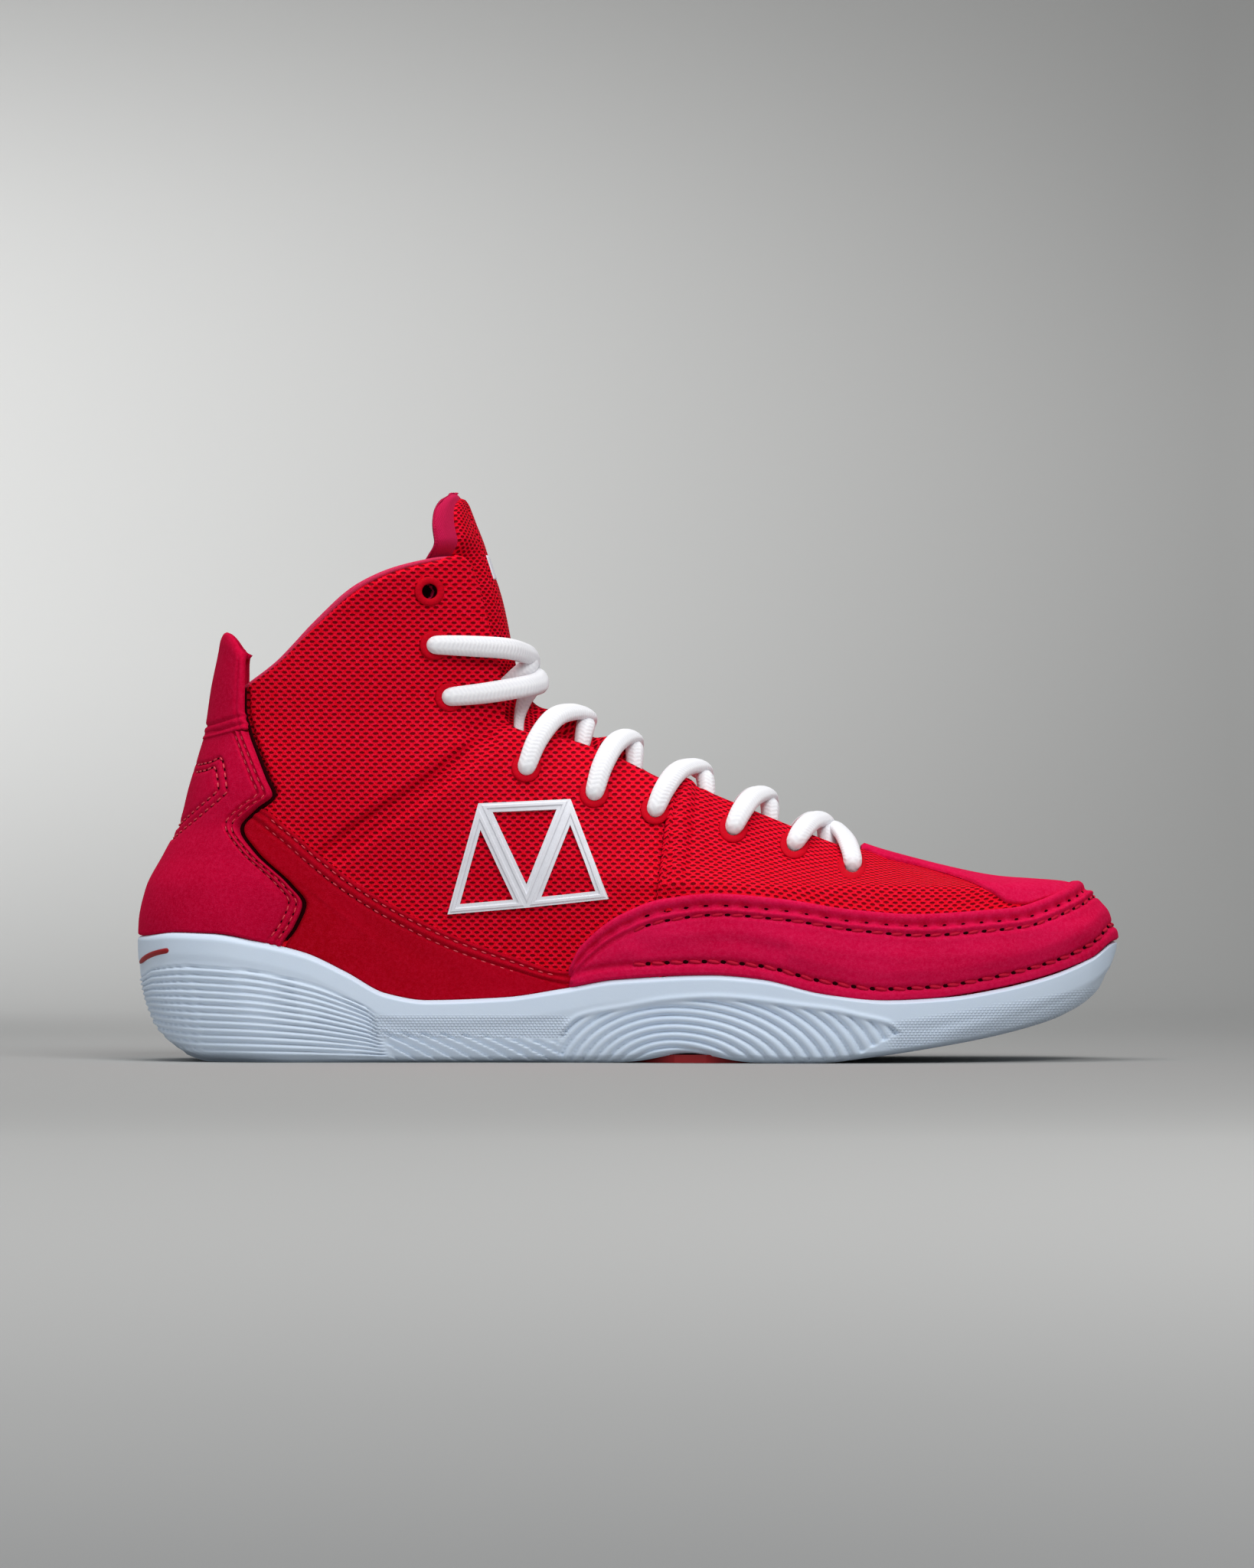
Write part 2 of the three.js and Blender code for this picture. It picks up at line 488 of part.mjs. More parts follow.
// ---------------------------------------------------------------- eyelets
function eyelet([x, z], side) {
  const section = [[HOLE_R, 0], [RING_R, 0], [RING_R - 0.5, RING_T], [HOLE_R, RING_T], [HOLE_R, 0]].map(([r, h]) => new THREE.Vector2(r, h));
  const ring = new THREE.LatheGeometry(section, 8);
  const normal = skinNormal(x, z, side);
  ring.applyQuaternion(new THREE.Quaternion().setFromUnitVectors(new THREE.Vector3(0, 1, 0), normal));
  const at = skin(x, z, side, RING_LIFT);
  return unsolid(solid(ring.translate(at.x, at.y, at.z)));
}
EYELETS.forEach((spot, i) => {
  add(`lateral_eyelet_${9 - i}`, eyelet(spot, LATERAL), COLOUR.suede);
  add(`medial_eyelet_${9 - i}`, eyelet(spot, MEDIAL), COLOUR.suede);
});

// ---------------------------------------------------------------- lace
const CROSS_Z = [69, 76, 82.5, 91, 97.5, 106.5, 117]; // where the strands cross over the ridge
const TAIL = [[82, 117], [76, 110], [72, 101], [70, 92]];
const LACED = 8;
const over = LACE_R + RING_T + RING_LIFT + 0.25; // middle of a strand that passes over a ring
const strandPoint = ([x, z], side, out, radius = LACE_R) => ({ at: skin(x, z, side, out), radius });
const toward = (a, b, t) => [lerp(a[0], b[0], t), lerp(a[1], b[1], t)];

// One end of the lace: in at the first eyelet, under the facing, over the tongue to the other side
// and in at the next eyelet, up to the last one, then down inside the collar.
function climb(startSide) {
  const points = [];
  let side = startSide;
  for (let k = 0; k < LACED; k += 1) {
    const hole = EYELETS[k];
    points.push(strandPoint(hole, side, 2.7, LACE_TIGHT_R), strandPoint(hole, side, -2, LACE_TIGHT_R),
      strandPoint(hole, side, under + 0.9, LACE_TIGHT_R));
    if (k === LACED - 1) break;
    const crossing = [frontX(CROSS_Z[k]) - 0.02, CROSS_Z[k]];
    points.push(strandPoint(toward(hole, crossing, 0.47), side, under, LACE_TIGHT_R),
      strandPoint(toward(hole, crossing, 0.86), side, -6, LACE_TIGHT_R),
      strandPoint(crossing, side, side === MEDIAL ? 6.2 : 1));
    side = -side;
    const next = EYELETS[k + 1];
    points.push(strandPoint(toward(next, crossing, 0.72), side, over - 0.3),
      strandPoint(toward(next, crossing, 0.34), side, over),
      strandPoint(toward(next, crossing, 0.12), side, over + 0.1, 1.8));
  }
  TAIL.forEach((spot) => points.push(strandPoint(spot, side, under - 0.6, LACE_TIGHT_R)));
  return points;
}
function bar(side) {
  const middle = [frontX(64.5) - 0.02, 64.5];
  return [strandPoint(toward(EYELETS[0], middle, 0.12), side, over - 0.2, 1.9),
    strandPoint(toward(EYELETS[0], middle, 0.5), side, over)];
}
const lacePoints = [...climb(LATERAL).reverse(), ...bar(LATERAL),
  strandPoint([frontX(64.5) - 0.02, 64.5], MEDIAL, 2.4), ...bar(MEDIAL).reverse(), ...climb(MEDIAL)];

// A tube along a smooth curve through the points, its radius following theirs.
function tube(stops, stepLength, sides) {
  const path = new THREE.CatmullRomCurve3(stops.map((p) => p.at), false, "centripetal");
  const spans = stops.length - 1;
  const rings = [];
  for (let i = 0; i < spans; i += 1) {
    const parts = Math.max(1, Math.round(stops[i].at.distanceTo(stops[i + 1].at) / stepLength));
    for (let k = 0; k < parts + (i === spans - 1 ? 1 : 0); k += 1) rings.push(i + k / parts);
  }
  let sideways = new THREE.Vector3(0, 0, 1);
  const points = [];
  rings.forEach((r) => {
    const heading = path.getTangent(r / spans);
    sideways = sideways.addScaledVector(heading, -sideways.dot(heading)).normalize();
    const third = new THREE.Vector3().crossVectors(heading, sideways);
    const [i, share] = [Math.min(spans - 1, Math.floor(r)), r - Math.min(spans - 1, Math.floor(r))];
    const radius = lerp(stops[i].radius, stops[i + 1].radius, share);
    for (let k = 0; k < sides; k += 1) {
      const turn = (2 * Math.PI * k) / sides;
      points.push(path.getPoint(r / spans).addScaledVector(sideways, radius * Math.cos(turn))
        .addScaledVector(third, radius * Math.sin(turn)));
    }
  });
  const faces = [];
  for (let r = 0; r < rings.length - 1; r += 1)
    for (let k = 0; k < sides; k += 1) {
      const [a, b] = [r * sides + k, r * sides + ((k + 1) % sides)];
      faces.push(a, b, b + sides, a, b + sides, a + sides);
    }
  const last = (rings.length - 1) * sides;
  for (let k = 1; k < sides - 1; k += 1) faces.push(0, k + 1, k, last, last + k, last + k + 1);
  return geometryFrom(points, faces);
}
add("lace", tube(lacePoints, 6, 6), COLOUR.white);
[["medial", lacePoints[0], lacePoints[1]], ["lateral", lacePoints.at(-1), lacePoints.at(-2)]]
  .forEach(([name, end, before]) => {
    const heading = end.at.clone().sub(before.at).normalize();
    const tip = new THREE.CylinderGeometry(1.3, 1.3, 14, 8)
      .applyQuaternion(new THREE.Quaternion().setFromUnitVectors(new THREE.Vector3(0, 1, 0), heading));
    const at = end.at.clone().addScaledVector(heading, 7.3);
    add(`${name}_aglet`, tip.translate(at.x, at.y, at.z), COLOUR.clear, 0.3);
  });

// ---------------------------------------------------------------- frame
// The part's frame stands at the centre of the footprint, on the floor.
const bounds = new THREE.Box3().setFromObject(boot);
const middle = bounds.getCenter(new THREE.Vector3());
boot.position.set(-middle.x, -middle.y, -bounds.min.z);

export default boot;
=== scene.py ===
"""Dresses the right-foot boxing boot: mesh and suede upper, grooved rubber sole, knitted lace.

Lengths in the classes are millimetres in the maker's own frame: x from the back of the heel to the
toe, y across from the outer (lateral, negative) side, z up from the floor. `Last.to_row` moves
points to the model's frame in metres.
"""

from __future__ import annotations

import json
import logging
import math
from dataclasses import dataclass, field
from enum import Enum
from typing import Callable, Iterable, Sequence

import bpy
import numpy as np
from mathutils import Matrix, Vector

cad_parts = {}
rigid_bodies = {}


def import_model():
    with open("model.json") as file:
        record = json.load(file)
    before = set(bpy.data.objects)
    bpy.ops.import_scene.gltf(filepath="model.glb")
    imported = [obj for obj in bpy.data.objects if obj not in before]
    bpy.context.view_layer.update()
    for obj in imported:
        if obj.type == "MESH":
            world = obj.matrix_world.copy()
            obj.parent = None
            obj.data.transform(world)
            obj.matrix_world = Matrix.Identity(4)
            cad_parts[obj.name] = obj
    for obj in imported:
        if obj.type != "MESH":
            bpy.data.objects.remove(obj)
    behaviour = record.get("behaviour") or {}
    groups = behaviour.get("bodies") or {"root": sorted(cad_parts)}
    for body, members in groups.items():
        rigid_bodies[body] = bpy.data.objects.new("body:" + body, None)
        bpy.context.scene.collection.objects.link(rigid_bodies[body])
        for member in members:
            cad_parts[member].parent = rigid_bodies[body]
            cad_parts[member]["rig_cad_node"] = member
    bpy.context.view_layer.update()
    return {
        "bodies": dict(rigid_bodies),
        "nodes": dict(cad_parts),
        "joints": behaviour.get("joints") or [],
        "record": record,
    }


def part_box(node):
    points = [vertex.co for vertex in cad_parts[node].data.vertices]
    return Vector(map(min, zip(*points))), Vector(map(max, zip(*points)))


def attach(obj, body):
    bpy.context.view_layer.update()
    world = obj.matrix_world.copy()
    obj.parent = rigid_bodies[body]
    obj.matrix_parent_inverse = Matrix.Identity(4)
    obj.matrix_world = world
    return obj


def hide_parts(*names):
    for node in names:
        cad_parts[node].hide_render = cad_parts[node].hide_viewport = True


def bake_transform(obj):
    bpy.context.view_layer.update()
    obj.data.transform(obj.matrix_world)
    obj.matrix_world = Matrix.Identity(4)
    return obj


LOG = logging.getLogger("boot")
Array = np.ndarray
Colour = tuple[float, float, float]
Spot = tuple[float, float]


class Side(Enum):
    """The two sides of the foot, as the sign of y."""

    LATERAL = -1
    MEDIAL = 1

    @property
    def word(self) -> str:
        """The side's name as the pieces use it."""
        return self.name.lower()


# ------------------------------------------------------------------ numbers along a line
class Curve:
    """A smooth rise through stations of (input, value), level beyond its ends."""

    def __init__(self, *stations: Spot) -> None:
        """Fits the curve.

        Args:
            stations: pairs of input and value, inputs rising.
        """
        self.at, self.value = np.array(stations, float).T
        step = np.diff(self.value) / np.diff(self.at)
        before, after = step[:-1], step[1:]
        total = np.where(before + after == 0, 1, before + after)
        self.slope = np.zeros_like(self.value)
        self.slope[1:-1] = np.where(before * after > 0, 2 * before * after / total, 0)

    def __call__(self, given: Array | float) -> Array:
        """Returns the curve's value at each input."""
        v = np.clip(given, self.at[0], self.at[-1])
        i = np.clip(np.searchsorted(self.at, v, side="right") - 1, 0, len(self.at) - 2)
        h = self.at[i + 1] - self.at[i]
        t = (v - self.at[i]) / h
        rise = self.value[i + 1] - self.value[i]
        m0, m1 = self.slope[i] * h, self.slope[i + 1] * h
        return self.value[i] + t * (m0 + t * (3 * rise - 2 * m0 - m1 + t * (m0 + m1 - 2 * rise)))


class Track:
    """A smooth line through points, read by its share of length."""

    def __init__(self, points: Sequence[Sequence[float]], fine: int = 12) -> None:
        """Rounds the line.

        Args:
            points: at least two points of any dimension.
            fine: samples between two points.
        """
        p = np.array(points, float)
        ends = np.vstack([2 * p[0] - p[1], p, 2 * p[-1] - p[-2]])
        t = np.linspace(0, 1, fine, endpoint=False)[:, None]
        spans = [self._span(*ends[k : k + 4], t) for k in range(len(p) - 1)]
        self.points = np.vstack([*spans, p[-1:]])
        self.run = run_along(self.points)

    @staticmethod
    def _span(a: Array, b: Array, c: Array, d: Array, t: Array) -> Array:
        """Returns one span of a smooth curve through its points, from b to c."""
        m0, m1 = (c - a) / 2, (d - b) / 2
        reach = np.linalg.norm(c - b)
        for m in (m0, m1):
            m *= min(1.0, reach / max(1e-9, np.linalg.norm(m)))
        return b + t * (m0 + t * (3 * (c - b) - 2 * m0 - m1 + t * (m0 + m1 - 2 * (c - b))))

    def at(self, share: Array | float) -> Array:
        """Returns the points at shares of the length, the coordinate last."""
        s = np.clip(share, 0, 1) * self.run[-1]
        return np.stack([np.interp(s, self.run, axis) for axis in self.points.T], axis=-1)

    def distance(self, x: Array, z: Array) -> Array:
        """Returns how far points of the side view are from this line."""
        best = np.full(np.shape(x), 1e9)
        for (ax, az), (bx, bz) in zip(self.points[:-1], self.points[1:]):
            dx, dz = bx - ax, bz - az
            t = np.clip(((x - ax) * dx + (z - az) * dz) / max(1e-9, dx * dx + dz * dz), 0, 1)
            best = np.minimum(best, np.hypot(x - ax - t * dx, z - az - t * dz))
        return best


def smooth(t: Array | float) -> Array:
    """Returns a soft step from 0 to 1."""
    t = np.clip(t, 0, 1)
    return t * t * (3 - 2 * t)


def roll(distance: Array, radius: float) -> Array:
    """Returns a rounded edge, 0 at the edge and 1 from `radius` on."""
    return np.sqrt(np.clip(1 - (1 - np.clip(distance / radius, 0, 1)) ** 2, 0, 1))


def groove(distance: Array, width: float) -> Array:
    """Returns a soft furrow, 1 on its line and 0 beyond its width."""
    return np.exp(-((distance / width) ** 2))


def unit(vectors: Array) -> Array:
    """Returns the vectors at length 1."""
    return vectors / np.maximum(1e-9, np.linalg.norm(vectors, axis=-1, keepdims=True))


def run_along(points: Array, axis: int = 0) -> Array:
    """Returns the distance along lines of points, from 0 at their start."""
    steps = np.linalg.norm(np.diff(points, axis=axis), axis=-1)
    start = np.zeros_like(np.take(steps, [0], axis=axis))
    return np.concatenate([start, np.cumsum(steps, axis=axis)], axis=axis)


# ------------------------------------------------------------------ the shape of the foot
class Last:
    """The boot's skin: a side outline with a half width at every point of it."""

    LENGTH = 290.0
    HEEL_ROUND = 37.0
    back = Curve((0, 22), (4.5, 13), (8, 8.5), (13, 5.2), (20, 3.3), (30, 2.6), (40, 2.8), (50, 4.8),
                 (60, 9.6), (70, 14.6), (80, 17.2), (90, 20.2), (97, 22.2), (110, 24.2), (122, 26.6),
                 (150, 30))
    front = Curve((0, 195), (2, 206), (4, 220), (6.6, 242), (9.5, 258), (14.5, 274.5), (21.5, 284),
                  (27, 287), (33, 288.3), (37, 288), (41, 286), (45, 283.5), (48, 281), (50, 278.6),
                  (51.2, 275), (52.3, 265.5), (53.4, 255), (55.2, 244), (57.5, 233), (60.6, 222),
                  (62.7, 216), (67, 205.5), (71.5, 195.5), (80, 176), (88, 156), (93, 145), (98, 134.5),
                  (103, 126), (108, 121), (114, 117.5), (122, 114.5), (142, 107), (152, 103.5), (160, 99.4),
                  (170, 96.6))
    nose = Curve((0, 60), (15, 76), (30, 88), (40, 94), (50, 108), (60, 122), (76, 116), (90, 98),
                 (105, 70), (120, 56), (150, 50))
    foot_half = Curve((0, 33), (40, 33.5), (72, 32), (100, 30.5), (125, 32.5), (150, 37.5), (180, 43.5),
                      (205, 45.8), (290, 46))
    leg_half = Curve((40, 33), (80, 34), (105, 32.5), (125, 32), (150, 34))
    foot_centre = Curve((50, 0), (105, -2), (150, -2), (200, 0), (240, 3), (270, 5.5), (290, 7))
    lip = Curve((0, 36.4), (12, 37.6), (22, 37.4), (36, 35.2), (50, 31.8), (62, 26.2), (74, 19.8),
                (86, 17.8), (108, 18.6), (126, 21.2), (142, 24), (170, 25.4), (184, 24.3), (204, 19.9),
                (222, 18), (238, 18.7), (254, 21.1), (270, 25.1), (282, 30), (290, 34.8))
    tread = Curve((0, 15), (3, 9.5), (8, 5), (15, 1.6), (22, 0), (200, 0), (216, 1.6), (234, 4.2),
                  (252, 7.4), (268, 11.4), (277, 14.8), (283, 18.6), (287, 23), (290, 29))

    def __init__(self) -> None:
        """Finds the model frame's origin from a piece whose place is known."""
        low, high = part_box("forefoot_pivot_disc")
        middle = (low + high) / 2
        self.shift = np.array([168 - middle.x * 1000, -4 - middle.y * 1000, 0.0])

    def centre(self, x: Array, z: Array) -> Array:
        """Returns y of the middle of the foot."""
        return self.foot_centre(x) * (1 - smooth((z - 55) / 55))

    def broad(self, x: Array, z: Array) -> Array:
        """Returns the half width away from heel and toe."""
        mix = smooth((z - 35) / 60)
        return self.foot_half(x) * (1 - mix) + self.leg_half(z) * mix

    def _fill(self, x: Array, z: Array) -> Array:
        """Returns the squared share of the half width that heel and nose leave."""
        heel = 1 - (1 - np.minimum(1, (x - self.back(z)) / self.HEEL_ROUND)) ** 2
        nose = 1 - (1 - np.minimum(1, (self.front(z) - x) / self.nose(z))) ** 2
        return np.where((heel < 0) | (nose < 0), np.minimum(heel, nose), heel * nose)

    def half(self, x: Array, z: Array) -> Array:
        """Returns the half width of the skin."""
        return self.broad(x, z) * np.sqrt(np.clip(self._fill(x, z), 0, 1))

    def skin(self, x: Array, z: Array, side: Array) -> Array:
        """Returns points of the skin."""
        return np.stack([x, self.centre(x, z) + side * self.half(x, z), z], axis=-1)

    def normal(self, p: Array) -> Array:
        """Returns outward directions at points on or near the skin."""

        def level(q: Array) -> Array:
            x, y, z = q[..., 0], q[..., 1], q[..., 2]
            return ((y - self.centre(x, z)) / self.broad(x, z)) ** 2 - self._fill(x, z)

        step = np.eye(3) * 0.3
        return unit(np.stack([level(p + d) - level(p - d) for d in step], axis=-1))

    def ridge(self, x: Array, half_gap: Array | float = 0.0) -> Array:
        """Returns the height at which the upper is `half_gap` from its middle, at each x."""
        low, high = np.full(np.shape(x), 37.0), np.full(np.shape(x), 170.0)
        for _ in range(34):
            z = (low + high) / 2
            inside = (self.front(z) > x) & (self.half(x, z) > half_gap)
            low, high = np.where(inside, z, low), np.where(inside, high, z)
        return low

    def to_row(self, p: Array) -> Array:
        """Returns points in the model's frame, in metres."""
        return (p - self.shift) / 1000


# ------------------------------------------------------------------ grids laid on the skin
Place = Callable[[Array, Array], tuple[Array, Array, Array]]


class Weave(Enum):
    """How a panel's UV map, in millimetres, follows its cloth."""

    SIDE = "x and z of the side view"
    ARCH = "x and the distance from the foot line"
    ALONG = "the two arc lengths of the grid"


@dataclass
class Grid:
    """A panel's points while they are shaped, one entry per vertex."""

    u: Array
    v: Array
    x: Array
    z: Array
    side: Array
    points: Array
    left: Array
    right: Array
    low: Array
    high: Array

    @property
    def edge(self) -> Array:
        """The distance to the nearest edge."""
        return np.minimum(np.minimum(self.left, self.right), np.minimum(self.low, self.high))


Relief = Callable[[Grid], Array]


def deselect() -> None:
    """Leaves nothing selected, so that an operator acts on the new piece only."""
    if bpy.context.object and bpy.context.object.mode != "OBJECT":
        bpy.ops.object.mode_set(mode="OBJECT")
    bpy.ops.object.select_all(action="DESELECT")


def take(*pieces: bpy.types.Object) -> None:
    """Selects pieces only, the first one active."""
    deselect()
    for piece in pieces:
        piece.select_set(True)
    bpy.context.view_layer.objects.active = pieces[0]


def adopt(name: str) -> bpy.types.Object:
    """Returns the new primitive, named and smooth."""
    piece = bpy.context.object
    piece.name = name
    piece.data.name = name
    bpy.ops.object.shade_smooth()
    return piece


def read_points(piece: bpy.types.Object) -> Array:
    """Returns a mesh's vertices."""
    flat = np.empty(len(piece.data.vertices) * 3)
    piece.data.vertices.foreach_get("co", flat)
    return flat.reshape(-1, 3)


def write_points(piece: bpy.types.Object, points: Array) -> None:
    """Moves a mesh's vertices."""
    piece.data.vertices.foreach_set("co", np.ascontiguousarray(points, np.float32).ravel())
    piece.data.update()


def write_uv(piece: bpy.types.Object, uv: Array) -> None:
    """Gives each corner the UV of its vertex."""
    layer = piece.data.uv_layers.active or piece.data.uv_layers.new(name="UVMap")
    corner = np.empty(len(piece.data.loops), np.int32)
    piece.data.loops.foreach_get("vertex_index", corner)
    layer.data.foreach_set("uv", np.ascontiguousarray(uv[corner], np.float32).ravel())


def apply_modifier(piece: bpy.types.Object, kind: str, **settings: object) -> None:
    """Adds a modifier, sets it and applies it."""
    take(piece)
    modifier = piece.modifiers.new(kind.title(), kind)
    for key, value in settings.items():
        setattr(modifier, key, value)
    bpy.ops.object.modifier_apply(modifier=modifier.name)


def join(name: str, pieces: Sequence[bpy.types.Object]) -> bpy.types.Object:
    """Joins pieces into the first one.

    Args:
        name: the joined piece's name.
        pieces: meshes to join.

    Returns:
        The joined object.
    """
    take(*pieces)
    bpy.ops.object.join()
    return adopt(name)


def sew_doubles(piece: bpy.types.Object, reach: float) -> None:
    """Merges vertices that meet, within `reach` metres."""
    take(piece)
    bpy.ops.object.mode_set(mode="EDIT")
    bpy.ops.mesh.select_all(action="SELECT")
    bpy.ops.mesh.remove_doubles(threshold=reach)
    bpy.ops.object.mode_set(mode="OBJECT")


class Cutter:
    """Cuts grids to size and lays them on the last."""

    def __init__(self, last: Last) -> None:
        """Args:
        last: the skin that the pieces lie on.
        """
        self.last = last

    def lay(self, name: str, place: Place, cells: tuple[int, int], relief: Relief | None = None,
            weave: Weave = Weave.SIDE, crowd: Spot = (0.0, 0.0), inward: bool = False) -> bpy.types.Object:
        """Makes one panel.

        Args:
            name: the piece's name.
            place: turns (u, v) into x, z and side.
            cells: faces along u and v.
            relief: the height over the skin at each vertex, in millimetres.
            weave: what the UV map follows.
            crowd: how strongly rows gather at the edges along u and v, from 0 to 1.
            inward: whether the visible face looks into the boot.

        Returns:
            The finished panel.
        """
        deselect()
        bpy.ops.mesh.primitive_grid_add(x_subdivisions=cells[0], y_subdivisions=cells[1], size=2)
        piece = adopt(name)
        flat = (read_points(piece)[:, :2] + 1) / 2
        order = np.lexsort((flat[:, 0], flat[:, 1]))
        linear = flat[order].reshape(cells[1] + 1, cells[0] + 1, 2)
        u, v = (linear[..., k] - crowd[k] * np.sin(2 * np.pi * linear[..., k]) / (2 * np.pi) for k in (0, 1))
        x, z, side = (np.broadcast_to(a, u.shape) for a in place(u, v))
        base = self.last.skin(x, z, side)
        grid = Grid(u, v, x, z, side, base, *self._margins(base))
        normal = self.last.normal(base)
        height = np.zeros(u.shape) if relief is None else np.broadcast_to(relief(grid), u.shape)
        points = base + normal * height[..., None]
        placed = np.empty((u.size, 3))
        placed[order] = points.reshape(-1, 3)
        write_points(piece, self.last.to_row(placed))
        self._set_uv(piece, grid, order, weave)
        self._face(piece, grid, normal, inward)
        return piece

    @staticmethod
    def _margins(base: Array) -> tuple[Array, Array, Array, Array]:
        """Returns the arc lengths to the left, right, low and high edges."""
        left, low = run_along(base, 1), run_along(base)
        return left, left[:, -1:] - left, low, low[-1:] - low

    @staticmethod
    def _set_uv(piece: bpy.types.Object, grid: Grid, order: Array, weave: Weave) -> None:
        """Writes the UV map that the cloth follows."""
        pair = {Weave.SIDE: (grid.x, grid.z), Weave.ARCH: (grid.x, grid.left),
                Weave.ALONG: (grid.left, grid.low)}[weave]
        uv = np.empty((grid.u.size, 2))
        uv[order] = np.stack(pair, axis=-1).reshape(-1, 2)
        write_uv(piece, uv)

    @staticmethod
    def _face(piece: bpy.types.Object, grid: Grid, normal: Array, inward: bool) -> None:
        """Turns the faces outwards, or inwards for a lining."""
        j, i = grid.u.shape[0] // 2, grid.u.shape[1] // 3
        along = grid.points[j, i + 1] - grid.points[j, i - 1]
        up = grid.points[j + 1, i] - grid.points[j - 1, i]
        facing = float(np.dot(np.cross(along, up), normal[j, i]))
        if (facing < 0) != inward:
            piece.data.flip_normals()

    def patch(self, foot: Callable, top: Callable, rear: Callable, fore: Callable, side: Side) -> Place:
        """Returns a four-sided place between its border lines, each giving (..., 2) points."""

        def place(u: Array, v: Array) -> tuple[Array, Array, Array]:
            a, b, c, d = foot(u), top(u), rear(v), fore(v)
            p00, p10, p01, p11 = foot(u * 0), foot(u * 0 + 1), top(u * 0), top(u * 0 + 1)
            u1, v1 = u[..., None], v[..., None]
            blend = (1 - v1) * a + v1 * b + (1 - u1) * c + u1 * d
            corner = (1 - v1) * ((1 - u1) * p00 + u1 * p10) + v1 * ((1 - u1) * p01 + u1 * p11)
            q = blend - corner
            return q[..., 0], q[..., 1], np.full(u.shape, float(side.value))

        return place

    def round_toe(self, start: float, low: Callable, high: Callable) -> Place:
        """Returns a belt from the outer side round the toe to the inner side."""

        def place(u: Array, v: Array) -> tuple[Array, Array, Array]:
            t = 2 * u - 1
            nominal = Last.LENGTH - (Last.LENGTH - start) * t * t
            z = low(nominal) * (1 - v) + high(nominal) * v
            x = self.last.front(z) - np.maximum(0, self.last.front(z) - start) * t * t
            return x, z, np.where(t < 0, -1.0, 1.0)

        return place

    def round_heel(self, edge: Callable, low: Callable, high: float) -> Place:
        """Returns a belt from the outer side round the heel to the inner side."""

        def place(u: Array, v: Array) -> tuple[Array, Array, Array]:
            t = 2 * u - 1
            z = low(edge(low(0 * t)) * t * t) * (1 - v) + high * v
            x = self.last.back(z) + (edge(z) - self.last.back(z)) * t * t
            return x, z, np.where(t < 0, -1.0, 1.0)

        return place

    def on_skin(self, line: Array, side: Array | float, height: float) -> tuple[Array, Array]:
        """Returns points and outward directions over side-view points."""
        base = self.last.skin(line[..., 0], line[..., 1], np.broadcast_to(side, line.shape[:-1]))
        normal = self.last.normal(base)
        return base + normal * height, normal

    def stitches(self, name: str, points: Array, normals: Array, pitch: float, size: Sequence[float],
                 lean: float = 0.0) -> bpy.types.Object:
        """Sews one stitch, copied along a line.

        Args:
            name: the piece's name.
            points: the seam's line, in millimetres.
            normals: outward directions along it.
            pitch: distance between stitches.
            size: half length, half width and half height of a stitch.
            lean: turn of each stitch about the outward direction, in degrees.

        Returns:
            One mesh of all the stitches.
        """
        deselect()
        bpy.ops.mesh.primitive_uv_sphere_add(segments=8, ring_count=6, radius=1)
        piece = adopt(name)
        shape = read_points(piece)
        shape = np.sign(shape) * np.abs(shape) ** np.array([0.8, 1, 1]) * np.array(size)
        run = run_along(points)
        count = max(2, int(run[-1] / pitch))
        s = (np.arange(count) + 0.5) * run[-1] / count
        spot, ahead, out = (np.stack([np.interp(s + d, run, a) for a in array.T], axis=-1)
                            for d, array in ((0, points), (0.4, points), (0, normals)))
        ahead = ahead - spot
        ahead -= out * np.sum(ahead * out, axis=-1, keepdims=True)
        ahead = unit(ahead)
        across = np.cross(out, ahead)
        turn = math.radians(lean)
        ahead, across = (ahead * math.cos(turn) + across * math.sin(turn),
                         across * math.cos(turn) - ahead * math.sin(turn))
        frame = np.stack([ahead, across, out], axis=1)
        copies = np.einsum("vk,nkc->nvc", shape, frame) + spot[:, None]
        self._repeat(piece, self.last.to_row(copies))
        return piece

    @staticmethod
    def _repeat(piece: bpy.types.Object, copies: Array) -> None:
        """Replaces a mesh by one that holds a copy of it at each set of vertex places."""
        faces = [tuple(f.vertices) for f in piece.data.polygons]
        per = copies.shape[1]
        mesh = bpy.data.meshes.new(piece.name)
        mesh.from_pydata(copies.reshape(-1, 3), [],
                         [tuple(i + n * per for i in f) for n in range(len(copies)) for f in faces])
        mesh.shade_smooth()
        old, piece.data = piece.data, mesh
        bpy.data.meshes.remove(old)

